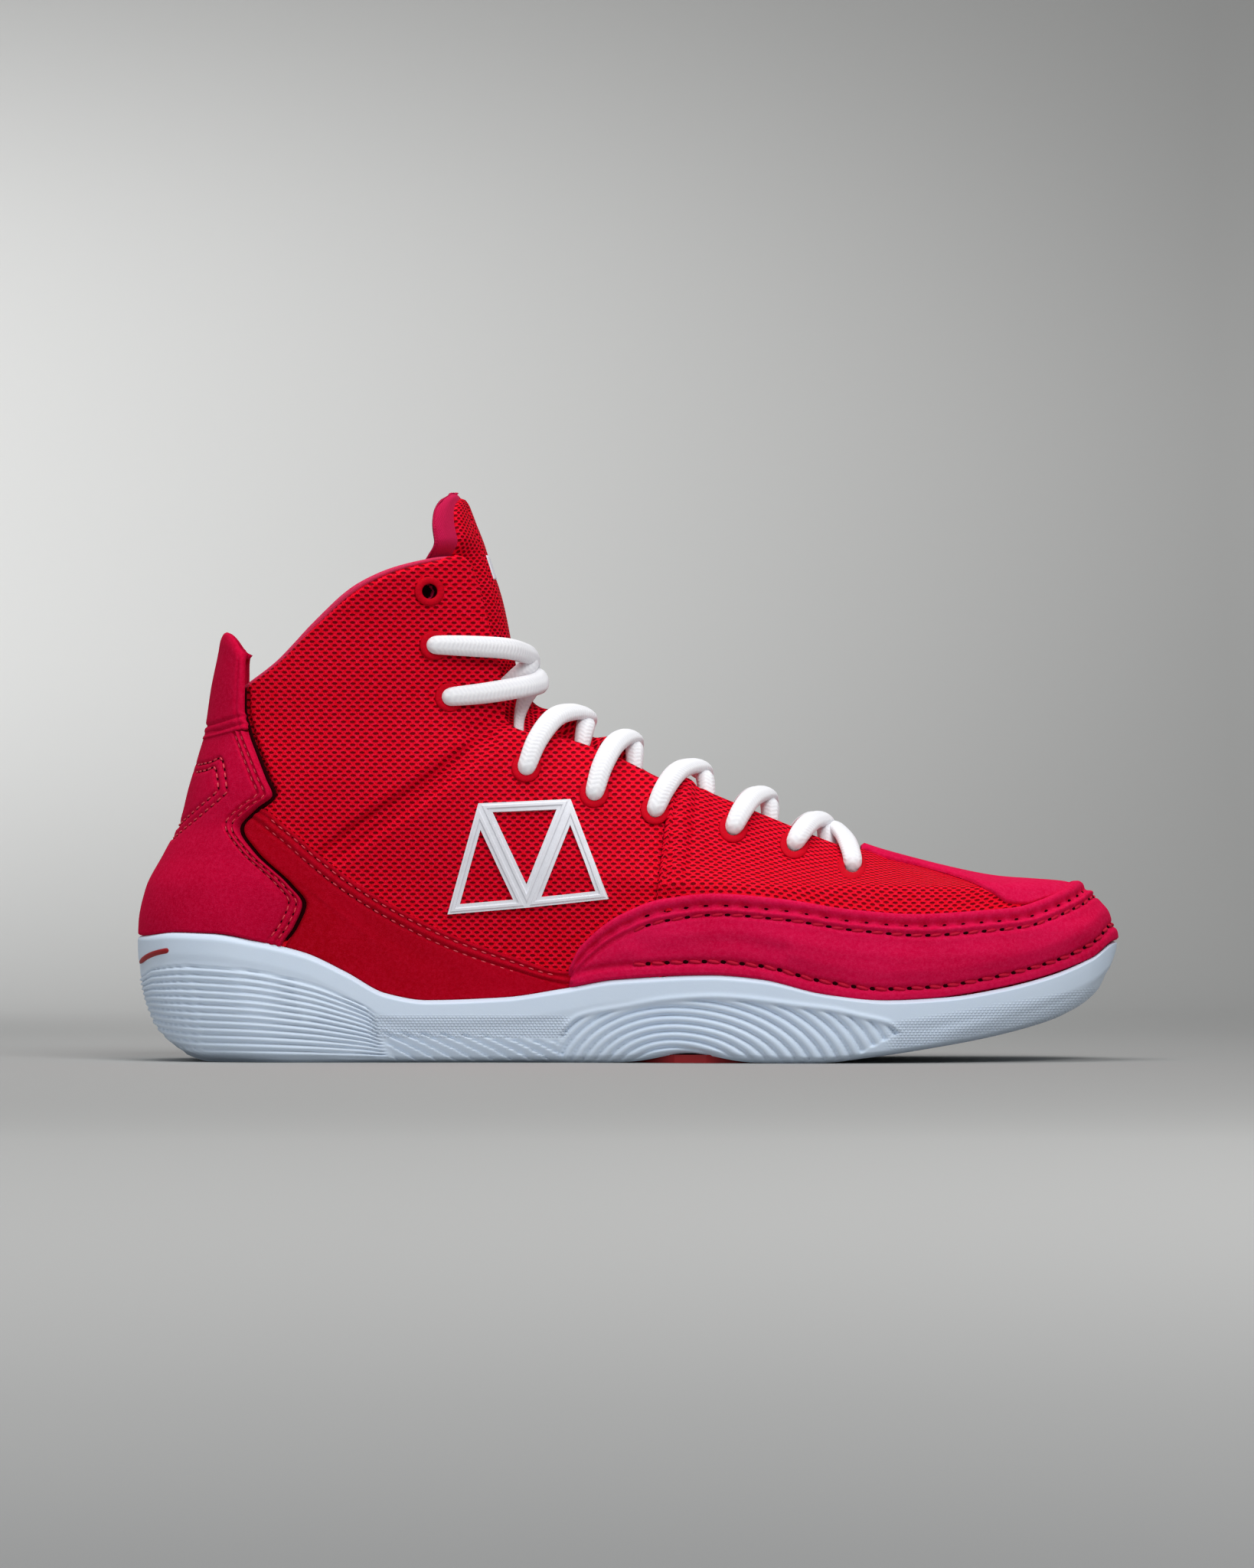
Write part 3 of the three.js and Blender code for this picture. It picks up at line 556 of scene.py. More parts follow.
    def cord(self, name: str, points: Array, across: Array, flat: Array, normals: Array,
             around: int = 14) -> bpy.types.Object:
        """Sweeps an oval along a line and closes its ends.

        Args:
            name: the piece's name.
            points: the middle line, in millimetres.
            across: half width at each point.
            flat: thickness over width at each point.
            normals: the direction that is thinner, at each point.
            around: sides of the oval.

        Returns:
            The swept piece, its UV map being share round and distance along.
        """
        deselect()
        rings = len(points)
        bpy.ops.mesh.primitive_cylinder_add(vertices=around, radius=1, depth=2, end_fill_type="NOTHING")
        piece = adopt(name)
        heading = unit(np.gradient(points, axis=0))
        sideways = np.empty_like(points)
        last = np.array([0.0, 0.0, 1.0])
        for k in range(rings):
            last = last - heading[k] * last.dot(heading[k])
            last /= np.linalg.norm(last)
            sideways[k] = last
        third = np.cross(heading, sideways)
        turn = 2 * np.pi * np.arange(around) / around
        spoke = (sideways[:, None] * np.cos(turn)[:, None] + third[:, None] * np.sin(turn)[:, None])
        spoke *= across[:, None, None]
        lying = 1 - np.abs(np.sum(heading * normals, axis=1)) ** 2
        press = np.sum(spoke * normals[:, None], axis=-1) * ((1 - flat) * lying)[:, None]
        ring = points[:, None] + spoke - normals[:, None] * press[..., None]
        faces = [(a * around + k, a * around + (k + 1) % around, (a + 1) * around + (k + 1) % around,
                  (a + 1) * around + k) for a in range(rings - 1) for k in range(around)]
        mesh = bpy.data.meshes.new(name)
        mesh.from_pydata(self.last.to_row(ring.reshape(-1, 3)), [], faces
                         + [tuple(range(around))[::-1], tuple((rings - 1) * around + k for k in range(around))])
        mesh.shade_smooth()
        piece.data = mesh
        run = run_along(points)
        layer = mesh.uv_layers.new(name="UVMap")
        corner = np.empty(len(mesh.loops), np.int32)
        mesh.loops.foreach_get("vertex_index", corner)
        share = (corner % around) / around
        wrapped = share.reshape(-1).copy()
        sides = (rings - 1) * around * 4
        quad = wrapped[:sides].reshape(-1, 4)
        quad[(quad.max(axis=1) > 0.8)[:, None] & (quad < 0.1)] = 1.0
        wrapped[:sides] = quad.ravel()
        layer.data.foreach_set("uv", np.stack([wrapped, run[corner // around]], axis=-1).astype(np.float32).ravel())
        return piece


# ------------------------------------------------------------------ shader maths
class Wire:
    """A number in a material, which adds a Math node for each operator used on it."""

    def __init__(self, bench: "Bench", socket: bpy.types.NodeSocket) -> None:
        """Args:
        bench: the material it belongs to.
        socket: the output that carries it.
        """
        self.bench, self.socket = bench, socket

    def op(self, kind: str, *others: "Wire | float", swap: bool = False) -> "Wire":
        """Returns the result of a Math node of that kind."""
        terms = [self, *others][:: -1 if swap else 1]
        return self.bench.node("ShaderNodeMath", {"operation": kind}, dict(enumerate(terms)))

    def __add__(self, other: "Wire | float") -> "Wire":
        """Returns the sum."""
        return self.op("ADD", other)

    def __sub__(self, other: "Wire | float") -> "Wire":
        """Returns the difference."""
        return self.op("SUBTRACT", other)

    def __rsub__(self, other: float) -> "Wire":
        """Returns the difference from a number."""
        return self.op("SUBTRACT", other, swap=True)

    def __mul__(self, other: "Wire | float") -> "Wire":
        """Returns the product."""
        return self.op("MULTIPLY", other)

    def __truediv__(self, other: "Wire | float") -> "Wire":
        """Returns the quotient."""
        return self.op("DIVIDE", other)

    __radd__, __rmul__ = __add__, __mul__

    def fall(self, full: float, none: float) -> "Wire":
        """Returns 1 up to `full`, easing to 0 at `none`."""
        return self.bench.node("ShaderNodeMapRange", {"interpolation_type": "SMOOTHSTEP"},
                               {"Value": self, "From Min": full, "From Max": none, "To Min": 1.0, "To Max": 0.0})


class Bench:
    """One material under construction."""

    def __init__(self, name: str) -> None:
        """Args:
        name: the material's name.
        """
        self.material = bpy.data.materials.new(name)
        self.material.use_nodes = True
        self.tree = self.material.node_tree
        self.tree.nodes.clear()

    def node(self, kind: str, settings: dict, inputs: dict, output: int | str = 0) -> Wire:
        """Adds one node.

        Args:
            kind: the node's type.
            settings: its properties.
            inputs: values or wires by socket name or number.
            output: which output to return.

        Returns:
            The wire of that output.
        """
        made = self.tree.nodes.new(kind)
        for key, value in settings.items():
            setattr(made, key, value)
        for key, value in inputs.items():
            if isinstance(value, Wire):
                self.tree.links.new(value.socket, made.inputs[key])
            else:
                made.inputs[key].default_value = value
        return Wire(self, made.outputs[output])

    def place(self, source: str, scale: Sequence[float] = (1, 1, 1)) -> Wire:
        """Returns coordinates, "Object" or "UV", scaled."""
        start = self.node("ShaderNodeTexCoord", {}, {}, source)
        return self.node("ShaderNodeMapping", {}, {"Vector": start, "Scale": scale})

    def split(self, vector: Wire) -> tuple[Wire, Wire, Wire]:
        """Returns a vector's three numbers."""
        made = self.tree.nodes.new("ShaderNodeSeparateXYZ")
        self.tree.links.new(vector.socket, made.inputs[0])
        return tuple(Wire(self, s) for s in made.outputs)

    def noise(self, where: Wire, scale: float, detail: float = 3.0, rough: float = 0.55) -> Wire:
        """Returns noise from 0 to 1."""
        return self.node("ShaderNodeTexNoise", {}, {"Vector": where, "Scale": scale, "Detail": detail,
                                                    "Roughness": rough}, "Fac")

    def ramp(self, where: Wire, stops: Sequence[Spot]) -> Wire:
        """Returns greys that change smoothly along `where`, by stops of place and grey."""
        made = self.tree.nodes.new("ShaderNodeValToRGB")
        self.tree.links.new(where.socket, made.inputs[0])
        made.color_ramp.interpolation = "B_SPLINE"
        for k, (place, grey) in enumerate(stops):
            stop = made.color_ramp.elements[k] if k < 2 else made.color_ramp.elements.new(place)
            stop.position, stop.color = place, (grey, grey, grey * 0.98, 1)
        return Wire(self, made.outputs[0])

    def mix(self, share: Wire | float, a: Colour | Wire, b: Colour | Wire) -> Wire:
        """Returns a colour between two."""
        def full(c: Colour | Wire) -> object:
            return c if isinstance(c, Wire) else (*c, 1)

        return self.node("ShaderNodeMix", {"data_type": "RGBA"}, {0: share, 6: full(a), 7: full(b)}, 2)

    def bump(self, height: Wire, depth: float, strength: float = 1.0) -> Wire:
        """Returns a normal from a height of 0 to 1, `depth` metres deep."""
        return self.node("ShaderNodeBump", {}, {"Height": height, "Distance": depth, "Strength": strength})

    def finish(self, **sockets: object) -> bpy.types.Material:
        """Adds the surface and returns the material."""
        inputs = {key.replace("_", " "): (*value, 1) if isinstance(value, tuple) and key.endswith(("Color", "Tint"))
                  else value for key, value in sockets.items()}
        surface = self.node("ShaderNodeBsdfPrincipled", {}, inputs)
        out = self.tree.nodes.new("ShaderNodeOutputMaterial")
        self.tree.links.new(surface.socket, out.inputs["Surface"])
        return self.material


@dataclass(frozen=True)
class Suede:
    """Napped suede, brushed lighter in patches."""

    name: str
    deep: Colour = (0.43, 0.0, 0.020)
    brushed: Colour = (0.60, 0.001, 0.040)
    fuzz: Colour = (0.74, 0.02, 0.10)

    def make(self) -> bpy.types.Material:
        """Returns the material."""
        b = Bench(self.name)
        where = b.place("Object")
        patch = b.noise(where, 38, 4)
        nap = b.noise(where, 900, 4, 0.7)
        fibre = b.noise(b.place("Object", (1, 1, 2.6)), 2400, 2)
        tone = (patch * 1.5 - 0.3 + nap * 0.5 - 0.2).op("MINIMUM", 1.0).op("MAXIMUM", 0.0)
        flecks = ((fibre * nap * 4.2 - 0.75).op("MAXIMUM", 0.0)).op("MINIMUM", 1.0)
        colour = b.mix(flecks * 0.4, b.mix(tone, self.deep, self.brushed), self.fuzz)
        height = nap * 0.6 + fibre * 0.4
        return b.finish(Base_Color=colour, Roughness=0.92, Normal=b.bump(height, 0.00022, 0.8),
                        Sheen_Weight=0.05, Sheen_Roughness=0.4, Sheen_Tint=(1.0, 0.02, 0.18),
                        Specular_IOR_Level=0.03)


@dataclass(frozen=True)
class HoleMesh:
    """Knitted sandwich mesh: crossing yarns with open cells between, on a UV map in millimetres."""

    name: str
    yarn: Colour = (0.80, 0.0, 0.013)
    lit: Colour = (0.95, 0.012, 0.07)
    shade: Colour = (0.05, 0.0, 0.0015)
    pitch: Spot = (2.7, 2.25)
    cell: Spot = (0.72, 0.36)

    def make(self) -> bpy.types.Material:
        """Returns the material."""
        b = Bench(self.name)
        x, z, _ = b.split(b.place("UV"))
        drift = b.noise(b.place("Object"), 70, 2)
        up = x / self.pitch[0] + z / self.pitch[1] + drift * 0.5
        down = x / self.pitch[0] - z / self.pitch[1] + drift * 0.4
        a, c = up.op("FRACT") - 0.5, down.op("FRACT") - 0.5
        across = (a + c) * (self.pitch[0] / 2 / self.cell[0])
        upward = (a - c) * (self.pitch[1] / 2 / self.cell[1])
        lean = upward * 0.22
        hole = ((across * across + upward * upward).op("SQRT") + lean).fall(0.62, 1.28)
        knot = (a.op("ABSOLUTE") + c.op("ABSOLUTE")).fall(0.62, 1.0)
        lint = b.noise(b.place("Object"), 1700, 2, 0.7)
        tone = b.noise(b.place("Object"), 24, 2)
        twist = ((x * 9.0 + z * 4.0).op("SINE") * 0.5 + 0.5) * 0.3
        glint = ((lint * 2.6 - 1.15) * (1 - hole)).op("MAXIMUM", 0.0).op("MINIMUM", 1.0)
        yarn = b.mix(tone * 0.4, self.yarn, (0.66, 0.0, 0.004))
        yarn = b.mix(glint, yarn, self.lit)
        colour = b.mix(hole * 0.84, yarn, self.shade)
        height = (1 - hole) * 0.7 + twist * 0.2 + lint * 0.12 + knot * 0.05
        return b.finish(Base_Color=colour, Roughness=0.6, Normal=b.bump(height, 0.0007, 1.0),
                        Specular_IOR_Level=0.04)


@dataclass(frozen=True)
class Rubber:
    """Moulded rubber with a satin skin, faint scuffs and, on the wall, fields of fine dots."""

    name: str
    colour: Colour = (0.73, 0.84, 0.97)
    shade: Colour = (0.64, 0.76, 0.92)
    rough: float = 0.46
    dots: bool = False

    def make(self) -> bpy.types.Material:
        """Returns the material."""
        b = Bench(self.name)
        where = b.place("Object")
        cloud = b.noise(where, 30, 3)
        grain = b.noise(where, 1300, 2)
        scuff = b.noise(b.place("Object", (1, 1, 6)), 140, 4)
        rough = grain * 0.12 + scuff * 0.16 + (self.rough - 0.14)
        colour = b.mix(cloud, self.colour, self.shade)
        height = grain * 0.06
        if self.dots:
            x, _, z = b.split(where)
            mm, up = x * 1000, z * 1000
            stagger = (up / 0.8).op("FLOOR").op("PINGPONG", 1.0) * 0.5
            cell = (mm / 1.1 + stagger).op("FRACT") - 0.5
            row = (up / 0.8).op("FRACT") - 0.5
            dot = (cell * cell + row * row).op("SQRT").fall(0.18, 0.46)
            waist = (mm + 46.5).op("ABSOLUTE").fall(26.0, 30.5) * (up - 10.6).op("ABSOLUTE").fall(2.6, 3.6)
            toe = (mm - 108.0).op("ABSOLUTE").fall(28.0, 34.0) * (up - mm * 0.16 + 4.4).op("ABSOLUTE").fall(2.6, 5.0)
            field_ = waist.op("MAXIMUM", toe * 0.7)
            height = height + dot * field_
            # The gaps between the raised dots are darkened: painted shade in the recesses.
            colour = b.mix((1 - dot) * field_ * 0.32, colour, (0.42, 0.50, 0.62))
        return b.finish(Base_Color=colour, Roughness=rough, Normal=b.bump(height, 0.00035, 0.8),
                        Subsurface_Weight=0.05, Subsurface_Radius=(0.003, 0.003, 0.004), Specular_IOR_Level=0.4)


@dataclass(frozen=True)
class KnitCord:
    """A flat knitted lace: two columns of slanting stitches, on a UV map of round and along."""

    name: str
    colour: Colour = (0.93, 0.93, 0.95)

    def make(self) -> bpy.types.Material:
        """Returns the material."""
        b = Bench(self.name)
        round_, along, _ = b.split(b.place("UV"))
        fold = (round_ * 8.0).op("PINGPONG", 1.0)
        slant = ((along / 1.25 + fold * 0.7) * (2 * math.pi)).op("SINE") * 0.5 + 0.5
        rib = (round_ * (16 * math.pi)).op("COSINE") * 0.5 + 0.5
        lint = b.noise(b.place("Object"), 1800, 3)
        height = slant * 0.40 + rib * 0.25 + lint * 0.45
        # The low parts of the knit take a darker blue-grey: painted shade in the grooves between stitches.
        colour = b.mix(height, (0.80, 0.80, 0.84), self.colour)
        return b.finish(Base_Color=colour, Roughness=0.85, Normal=b.bump(height, 0.00022, 0.7),
                        Sheen_Weight=0.1, Sheen_Roughness=0.5, Specular_IOR_Level=0.2)


@dataclass(frozen=True)
class BrushedCloth:
    """A close brushed cloth for linings and piping."""

    name: str
    deep: Colour = (0.42, 0.001, 0.035)
    light: Colour = (0.66, 0.012, 0.10)
    scale: float = 1.0

    def make(self) -> bpy.types.Material:
        """Returns the material."""
        b = Bench(self.name)
        where = b.place("Object")
        x, y, z = b.split(where)
        thread = ((x + y) * (7200 * self.scale)).op("SINE") * (z * (7200 * self.scale)).op("SINE") * 0.5 + 0.5
        fluff = b.noise(where, 1100, 3)
        cloud = b.noise(where, 45, 2)
        colour = b.mix(thread * 0.4 + fluff * 0.35 + cloud * 0.25, self.deep, self.light)
        return b.finish(Base_Color=colour, Roughness=0.9, Normal=b.bump(thread * 0.6 + fluff * 0.4, 0.0002, 0.7),
                        Sheen_Weight=0.08, Sheen_Roughness=0.5, Sheen_Tint=(1.0, 0.2, 0.35),
                        Specular_IOR_Level=0.15)


@dataclass(frozen=True)
class Plain:
    """A plain moulded or spun finish with a fine grain."""

    name: str
    colour: Colour
    rough: float = 0.5
    grain: float = 700.0
    depth: float = 0.00005
    shine: float = 0.5

    def make(self) -> bpy.types.Material:
        """Returns the material."""
        b = Bench(self.name)
        where = b.place("Object")
        grain = b.noise(where, self.grain, 3)
        dark = tuple(c * 0.86 for c in self.colour)
        return b.finish(Base_Color=b.mix(grain, dark, self.colour), Roughness=grain * 0.14 + (self.rough - 0.07),
                        Normal=b.bump(grain, self.depth, 0.6), Specular_IOR_Level=self.shine)


class Wardrobe:
    """Every finish of the boot, made once."""

    def __init__(self) -> None:
        """Makes the materials."""
        self.suede = Suede("suede_crimson").make()
        # A darker copy of the crimson suede, worn by the side bands under the ankle: painted shade.
        self.shaded_suede = Suede("suede_deep", (0.34, 0.0, 0.004), (0.47, 0.0, 0.014), (0.60, 0.01, 0.04)).make()
        # A lighter copy of the crimson suede, worn by the toe rand and toe top: painted light on the toe.
        self.rose = Suede("suede_rose", (0.56, 0.0, 0.036), (0.70, 0.005, 0.072), (0.82, 0.035, 0.14)).make()
        self.mesh = HoleMesh("mesh_red").make()
        self.tongue_mesh = HoleMesh("tongue_mesh_red", pitch=(2.0, 1.9), cell=(0.54, 0.34)).make()
        self.rubber = Rubber("rubber_white", dots=True).make()
        self.tread = Rubber("rubber_tread").make()
        self.red_rubber = Rubber("rubber_red", (0.34, 0.0, 0.005), (0.26, 0.0, 0.003), 0.5).make()
        self.lace = KnitCord("lace_white").make()
        self.lining = BrushedCloth("lining_pink").make()
        self.piping = BrushedCloth("piping_rose", (0.50, 0.004, 0.04), (0.76, 0.05, 0.14), 1.4).make()
        self.thread = Plain("thread_crimson", (0.60, 0.003, 0.04), 0.6, 1600, 0.0001, 0.15).make()
        self.bright_thread = Plain("thread_pink", (0.76, 0.05, 0.085), 0.5, 1600, 0.0001).make()
        self.ring = Plain("ring_thread_red", (0.60, 0.0, 0.012), 0.7, 1900, 0.0002, 0.06).make()
        self.badge = Plain("badge_white", (0.86, 0.87, 0.93), 0.42, 500, 0.00003).make()
        self.foam = Plain("foam_cream", (0.78, 0.76, 0.7), 0.9, 900, 0.0002).make()
        self.board = Plain("fibre_board", (0.45, 0.38, 0.28), 0.9, 800, 0.0001).make()
        self.stiffener = Plain("stiffener_grey", (0.6, 0.57, 0.5), 0.8, 600, 0.0001).make()
        self.tip = Plain("aglet_clear", (0.75, 0.78, 0.82), 0.25, 300, 0.00002).make()
        # Near-black for eyelet holes, needle holes and the gap along the heel piece: painted shade.
        self.hole = Plain("hole_dark", (0.02, 0.0, 0.001), 0.9, 300, 0.00002, 0.05).make()

    @staticmethod
    def wear(piece: bpy.types.Object, material: bpy.types.Material) -> bpy.types.Object:
        """Dresses a piece in one material."""
        piece.data.materials.clear()
        piece.data.materials.append(material)
        return piece

    def dress(self, piece: bpy.types.Object, material: bpy.types.Material, slot: str,
              *stands_for: str) -> bpy.types.Object:
        """Dresses a piece and says what it is.

        Args:
            piece: the finished mesh.
            material: its finish.
            slot: not used.
            stands_for: the solid-modelled nodes that it replaces.

        Returns:
            The piece.
        """
        self.wear(piece, material)
        if stands_for:
            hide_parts(*stands_for)
        return piece

    def darken(self, piece: bpy.types.Object, spots: Sequence[Spot], shift: Array, radius: float) -> None:
        """Gives a panel's faces inside the eyelet holes a near-black material: painted shade in the holes.

        Args:
            piece: the panel.
            spots: hole centres in the side view, in millimetres.
            shift: what the model frame takes off the maker's frame.
            radius: radius of a hole, in millimetres.
        """
        piece.data.materials.append(self.hole)
        centre = np.empty(len(piece.data.polygons) * 3)
        piece.data.polygons.foreach_get("center", centre)
        centre = centre.reshape(-1, 3) * 1000 + shift
        index = np.zeros(len(centre), np.int32)
        for x, z in spots:
            index[np.hypot(centre[:, 0] - x, centre[:, 2] - z) < radius] = 1
        piece.data.polygons.foreach_set("material_index", index)


# ------------------------------------------------------------------ lines of the pattern
COLLAR = [(24, 106), (32, 111.5), (42, 118.5), (53, 129), (64, 138.3), (75, 144.2), (88, 148), (98, 149.5)]
FACING = [(98, 149.5), (103, 135), (107, 120), (109, 108), (112, 100), (121, 97.5), (131, 95), (147, 88.3),
          (160, 81)]
SEAM = ((151, 10), (160, 81))
EYELETS = [(211, 57.6), (194, 63.8), (176, 68.6), (153, 74), (135, 79), (115, 86.5), (92.5, 107.3),
           (88, 122.6), (86.5, 138.5)]
RAND_TOP = Curve((127, 27.5), (131, 34), (143, 43.3), (157, 48.2), (173, 49.7), (193, 48), (213, 44.8),
                 (233, 43.3), (254, 44.2), (264, 45), (273, 47), (282.5, 49.5), (290, 50.8))
BAND_TOP = Curve((36, 75.5), (45, 69.5), (55, 60.8), (65, 53.2), (80, 44.2), (95, 37), (110, 31.6), (127, 27))
HEEL_EDGE = Curve((33, 43), (40, 47), (46.5, 49.4), (52, 45.5), (62, 35), (68.5, 31), (74.5, 36),
                  (78.5, 40.6), (83, 38.8), (90, 36), (97, 33.4), (104, 31.8), (118, 31.6), (123, 30.8),
                  (126.5, 27.6))
CREASES = (Track([(54, 60), (66, 69.5), (80, 78.5), (95, 89.5), (104, 96.5)]),
           Track([(58, 59), (70, 68), (84, 77.5), (98, 88), (106, 95)]))


PIT_RADIUS, PIT_DEPTH, DARK_RADIUS = 2.6, 4.2, 2.9


def seam_x(z: Array) -> Array:
    """Returns x of the seam between vamp and quarter."""
    return SEAM[0][0] + (SEAM[1][0] - SEAM[0][0]) * (z - SEAM[0][1]) / (SEAM[1][1] - SEAM[0][1])


def dip_at(x: Array, z: Array, spots: Iterable[Spot], radius: float, depth: float) -> Array:
    """Returns pits at spots of the side view."""
    height = np.zeros(np.shape(x))
    for sx, sz in spots:
        height -= depth * (1 - smooth((np.hypot(x - sx, z - sz) - radius * 0.75) / (radius * 0.5)))
    return height


@dataclass
class Outsole:
    """The cupped rubber sole, with its grooved wall, tread and red inserts."""

    cutter: Cutter
    wardrobe: Wardrobe
    columns: int = 1180
    rows: int = 80
    heel_top: Curve = field(default_factory=lambda: Curve((0, 24.5), (5, 27.2), (14.5, 28.2), (31.5, 27.2),
                                                          (51, 23.2), (62, 19.2), (68, 16.4), (74, 12.5)))
    heel_foot: Curve = field(default_factory=lambda: Curve((0, 7), (4, 5), (10, 3), (20, 1.8), (74, 1.4)))
    fan_top: Curve = field(default_factory=lambda: Curve((124.5, 2), (126, 9), (131, 13.5), (143, 15.9), (158, 18.4),
                                                         (170, 19.1), (178, 18.7), (186, 17.8), (195, 16.6),
                                                         (205, 15.3), (213, 13.5), (221, 11.6), (225.5, 9)))

    def ring(self, s: Array, end: Array, inset: Array) -> tuple[Array, Array]:
        """Returns x and y round the sole at shares s, drawn in at its ends and sides."""
        last = self.cutter.last
        share_turn = np.pi * np.where(s < 0.5, 2 * s, 2 - 2 * s)
        share = (1 - np.cos(share_turn)) / 2
        x = end + (Last.LENGTH - 2 * end) * share
        z = last.lip(Last.LENGTH * share)
        on = (last.back(z) + 0.01) * (1 - share) + (last.front(z) - 0.01) * share
        wide = last.half(on, z) + 2.7 * np.minimum(1, 3 * np.sin(share_turn)) + 0.3
        y = np.maximum(0.02, wide - inset * np.minimum(1, 2 * np.sin(share_turn))) * (np.sin(share_turn) > 1e-6)
        return x, last.centre(x, 30 + 0 * x) + np.where(s < 0.5, -1, 1) * y

    @staticmethod
    def ribs(phase: Array, cut: float) -> Array:
        """Returns rounded ribs, one for each whole number of phase, with a narrow cut between."""
        t = phase - np.floor(phase)
        nearest = np.minimum(t, 1 - t)
        return 0.35 * np.sin(np.pi * t) - cut * np.exp(-((nearest / 0.17) ** 2)) + 0.35 * (t - 0.5)

    def pattern(self, x: Array, z: Array) -> Array:
        """Returns the moulded relief of the wall over the side view."""
        top, foot = self.heel_top(x), self.heel_foot(x)
        share = (top - z) / np.maximum(3, top - foot)
        heel_on = smooth((share + 0.02) / 0.03) * (1 - smooth((share - 0.99) / 0.03))
        heel_on = heel_on * (1 - smooth((x + 0.25 * z - 73.5) / 1.5))
        heel = self.ribs(share * 12, 0.85) * 1.0625 * heel_on
        scallop_top = 8.6 - (x - 74) * 0.055 + 0.7 * np.sin(x * 1.12)
        waist_on = smooth((x + 0.4 * z - 75.5) / 2) * (1 - smooth((x + 0.2 * z - 125) / 2))
        waist_on = waist_on * (1 - smooth((z - scallop_top) / 1.2))
        waist = ((x + 1.55 * z + 0.05 * z * z) / 5.6) % 1.0
        waist = (0.95 * (waist - 0.5) - 0.35 * np.exp(-(((waist - 0.02) / 0.09) ** 2))) * waist_on
        reach = np.where(x < 158, 1.4, 1.7)
        fan = np.hypot((x - 158) / reach, z + 6)
        edge = self.fan_top(x) - z
        under = np.interp(x, [205, 214, 220, 225.5], [-9, 3.2, 6.2, 9])
        fan_on = smooth(edge / 0.7) * smooth((x - 124.5) / 1.2) * (1 - smooth((x - 224.5) / 1.2))
        fan_on = fan_on * smooth((z - under) / 0.8)
        fan_cut = (self.ribs((fan - 10.6) / 2.35, 0.95) - 0.55) * fan_on * smooth((fan - 8.5) / 1.5)
        rim = 0.35 * groove(edge + 0.5, 0.8) * smooth((x - 124) / 2) * (1 - smooth((x - 224) / 2))
        toe = 0.3 * np.sin(2 * np.pi * (x - 2.0 * z) / 24) * smooth((x - 226) / 12)
        toe = toe * smooth((self.cutter.last.lip(x) - 6 - z) / 3)
        soft = 0.3 * smooth((z - self.cutter.last.lip(x) + 8.5) / 3)
        return soft + heel + waist + fan_cut + rim + toe

    def wall(self) -> bpy.types.Object:
        """Returns the wall, from the tread's edge over the lip and down inside."""
        deselect()
        bpy.ops.mesh.primitive_grid_add(x_subdivisions=self.columns, y_subdivisions=self.rows, size=2)
        piece = adopt("outsole_wall")
        s, w = ((read_points(piece)[:, :2] + 1) / 2).T
        last = self.cutter.last
        rise = np.clip(w / 0.86, 0, 1)
        end = Curve((0, 14), (0.05, 8.5), (0.12, 4.5), (0.45, 0.6), (1, 0))(rise)
        inset = Curve((0, 5), (0.04, 2.9), (0.1, 1.4), (0.45, 0.3), (0.96, 0), (1, 0.5))(rise)
        inner = np.clip((w - 0.86) / 0.14, 0, 1)
        end = end + 2.6 * np.minimum(1, inner * 2)
        inset = inset + 2.8 * np.minimum(1, inner * 2)
        x, y = self.ring(s, end, inset)
        arch = 2.9 * groove(x - 163, 11.5)
        tread = last.tread(x) + arch * (1 - rise) ** 2
        z = tread + (last.lip(x) - tread) * rise - 3.5 * np.maximum(0, inner - 0.5) * 2
        z = z + 0.5 * np.sin(np.pi * np.minimum(1, inner * 2))
        flat = np.stack([x, y, z], axis=-1)
        ahead = np.stack(self.ring(np.clip(s + 0.001, 0, 1), end, inset), axis=-1)
        behind = np.stack(self.ring(np.clip(s - 0.001, 0, 1), end, inset), axis=-1)
        run = ahead - behind
        out = np.stack([run[:, 1], -run[:, 0], 0 * x], axis=-1)
        out = unit(out)
        centre = np.stack([np.clip(x, 30, 250), last.centre(x, 30 + 0 * x), z], axis=-1)
        out *= np.sign(np.sum(out * (flat - centre), axis=-1, keepdims=True))
        out[(s < 1e-6) | (s > 1 - 1e-6)] = (-1, 0, 0)
        relief = self.pattern(x, z) * smooth(rise / 0.06) * (inner <= 0) * (1 - smooth((rise - 0.97) / 0.03))
        write_points(piece, last.to_row(flat + out * relief[:, None]))
        sew_doubles(piece, 1e-5)
        return piece

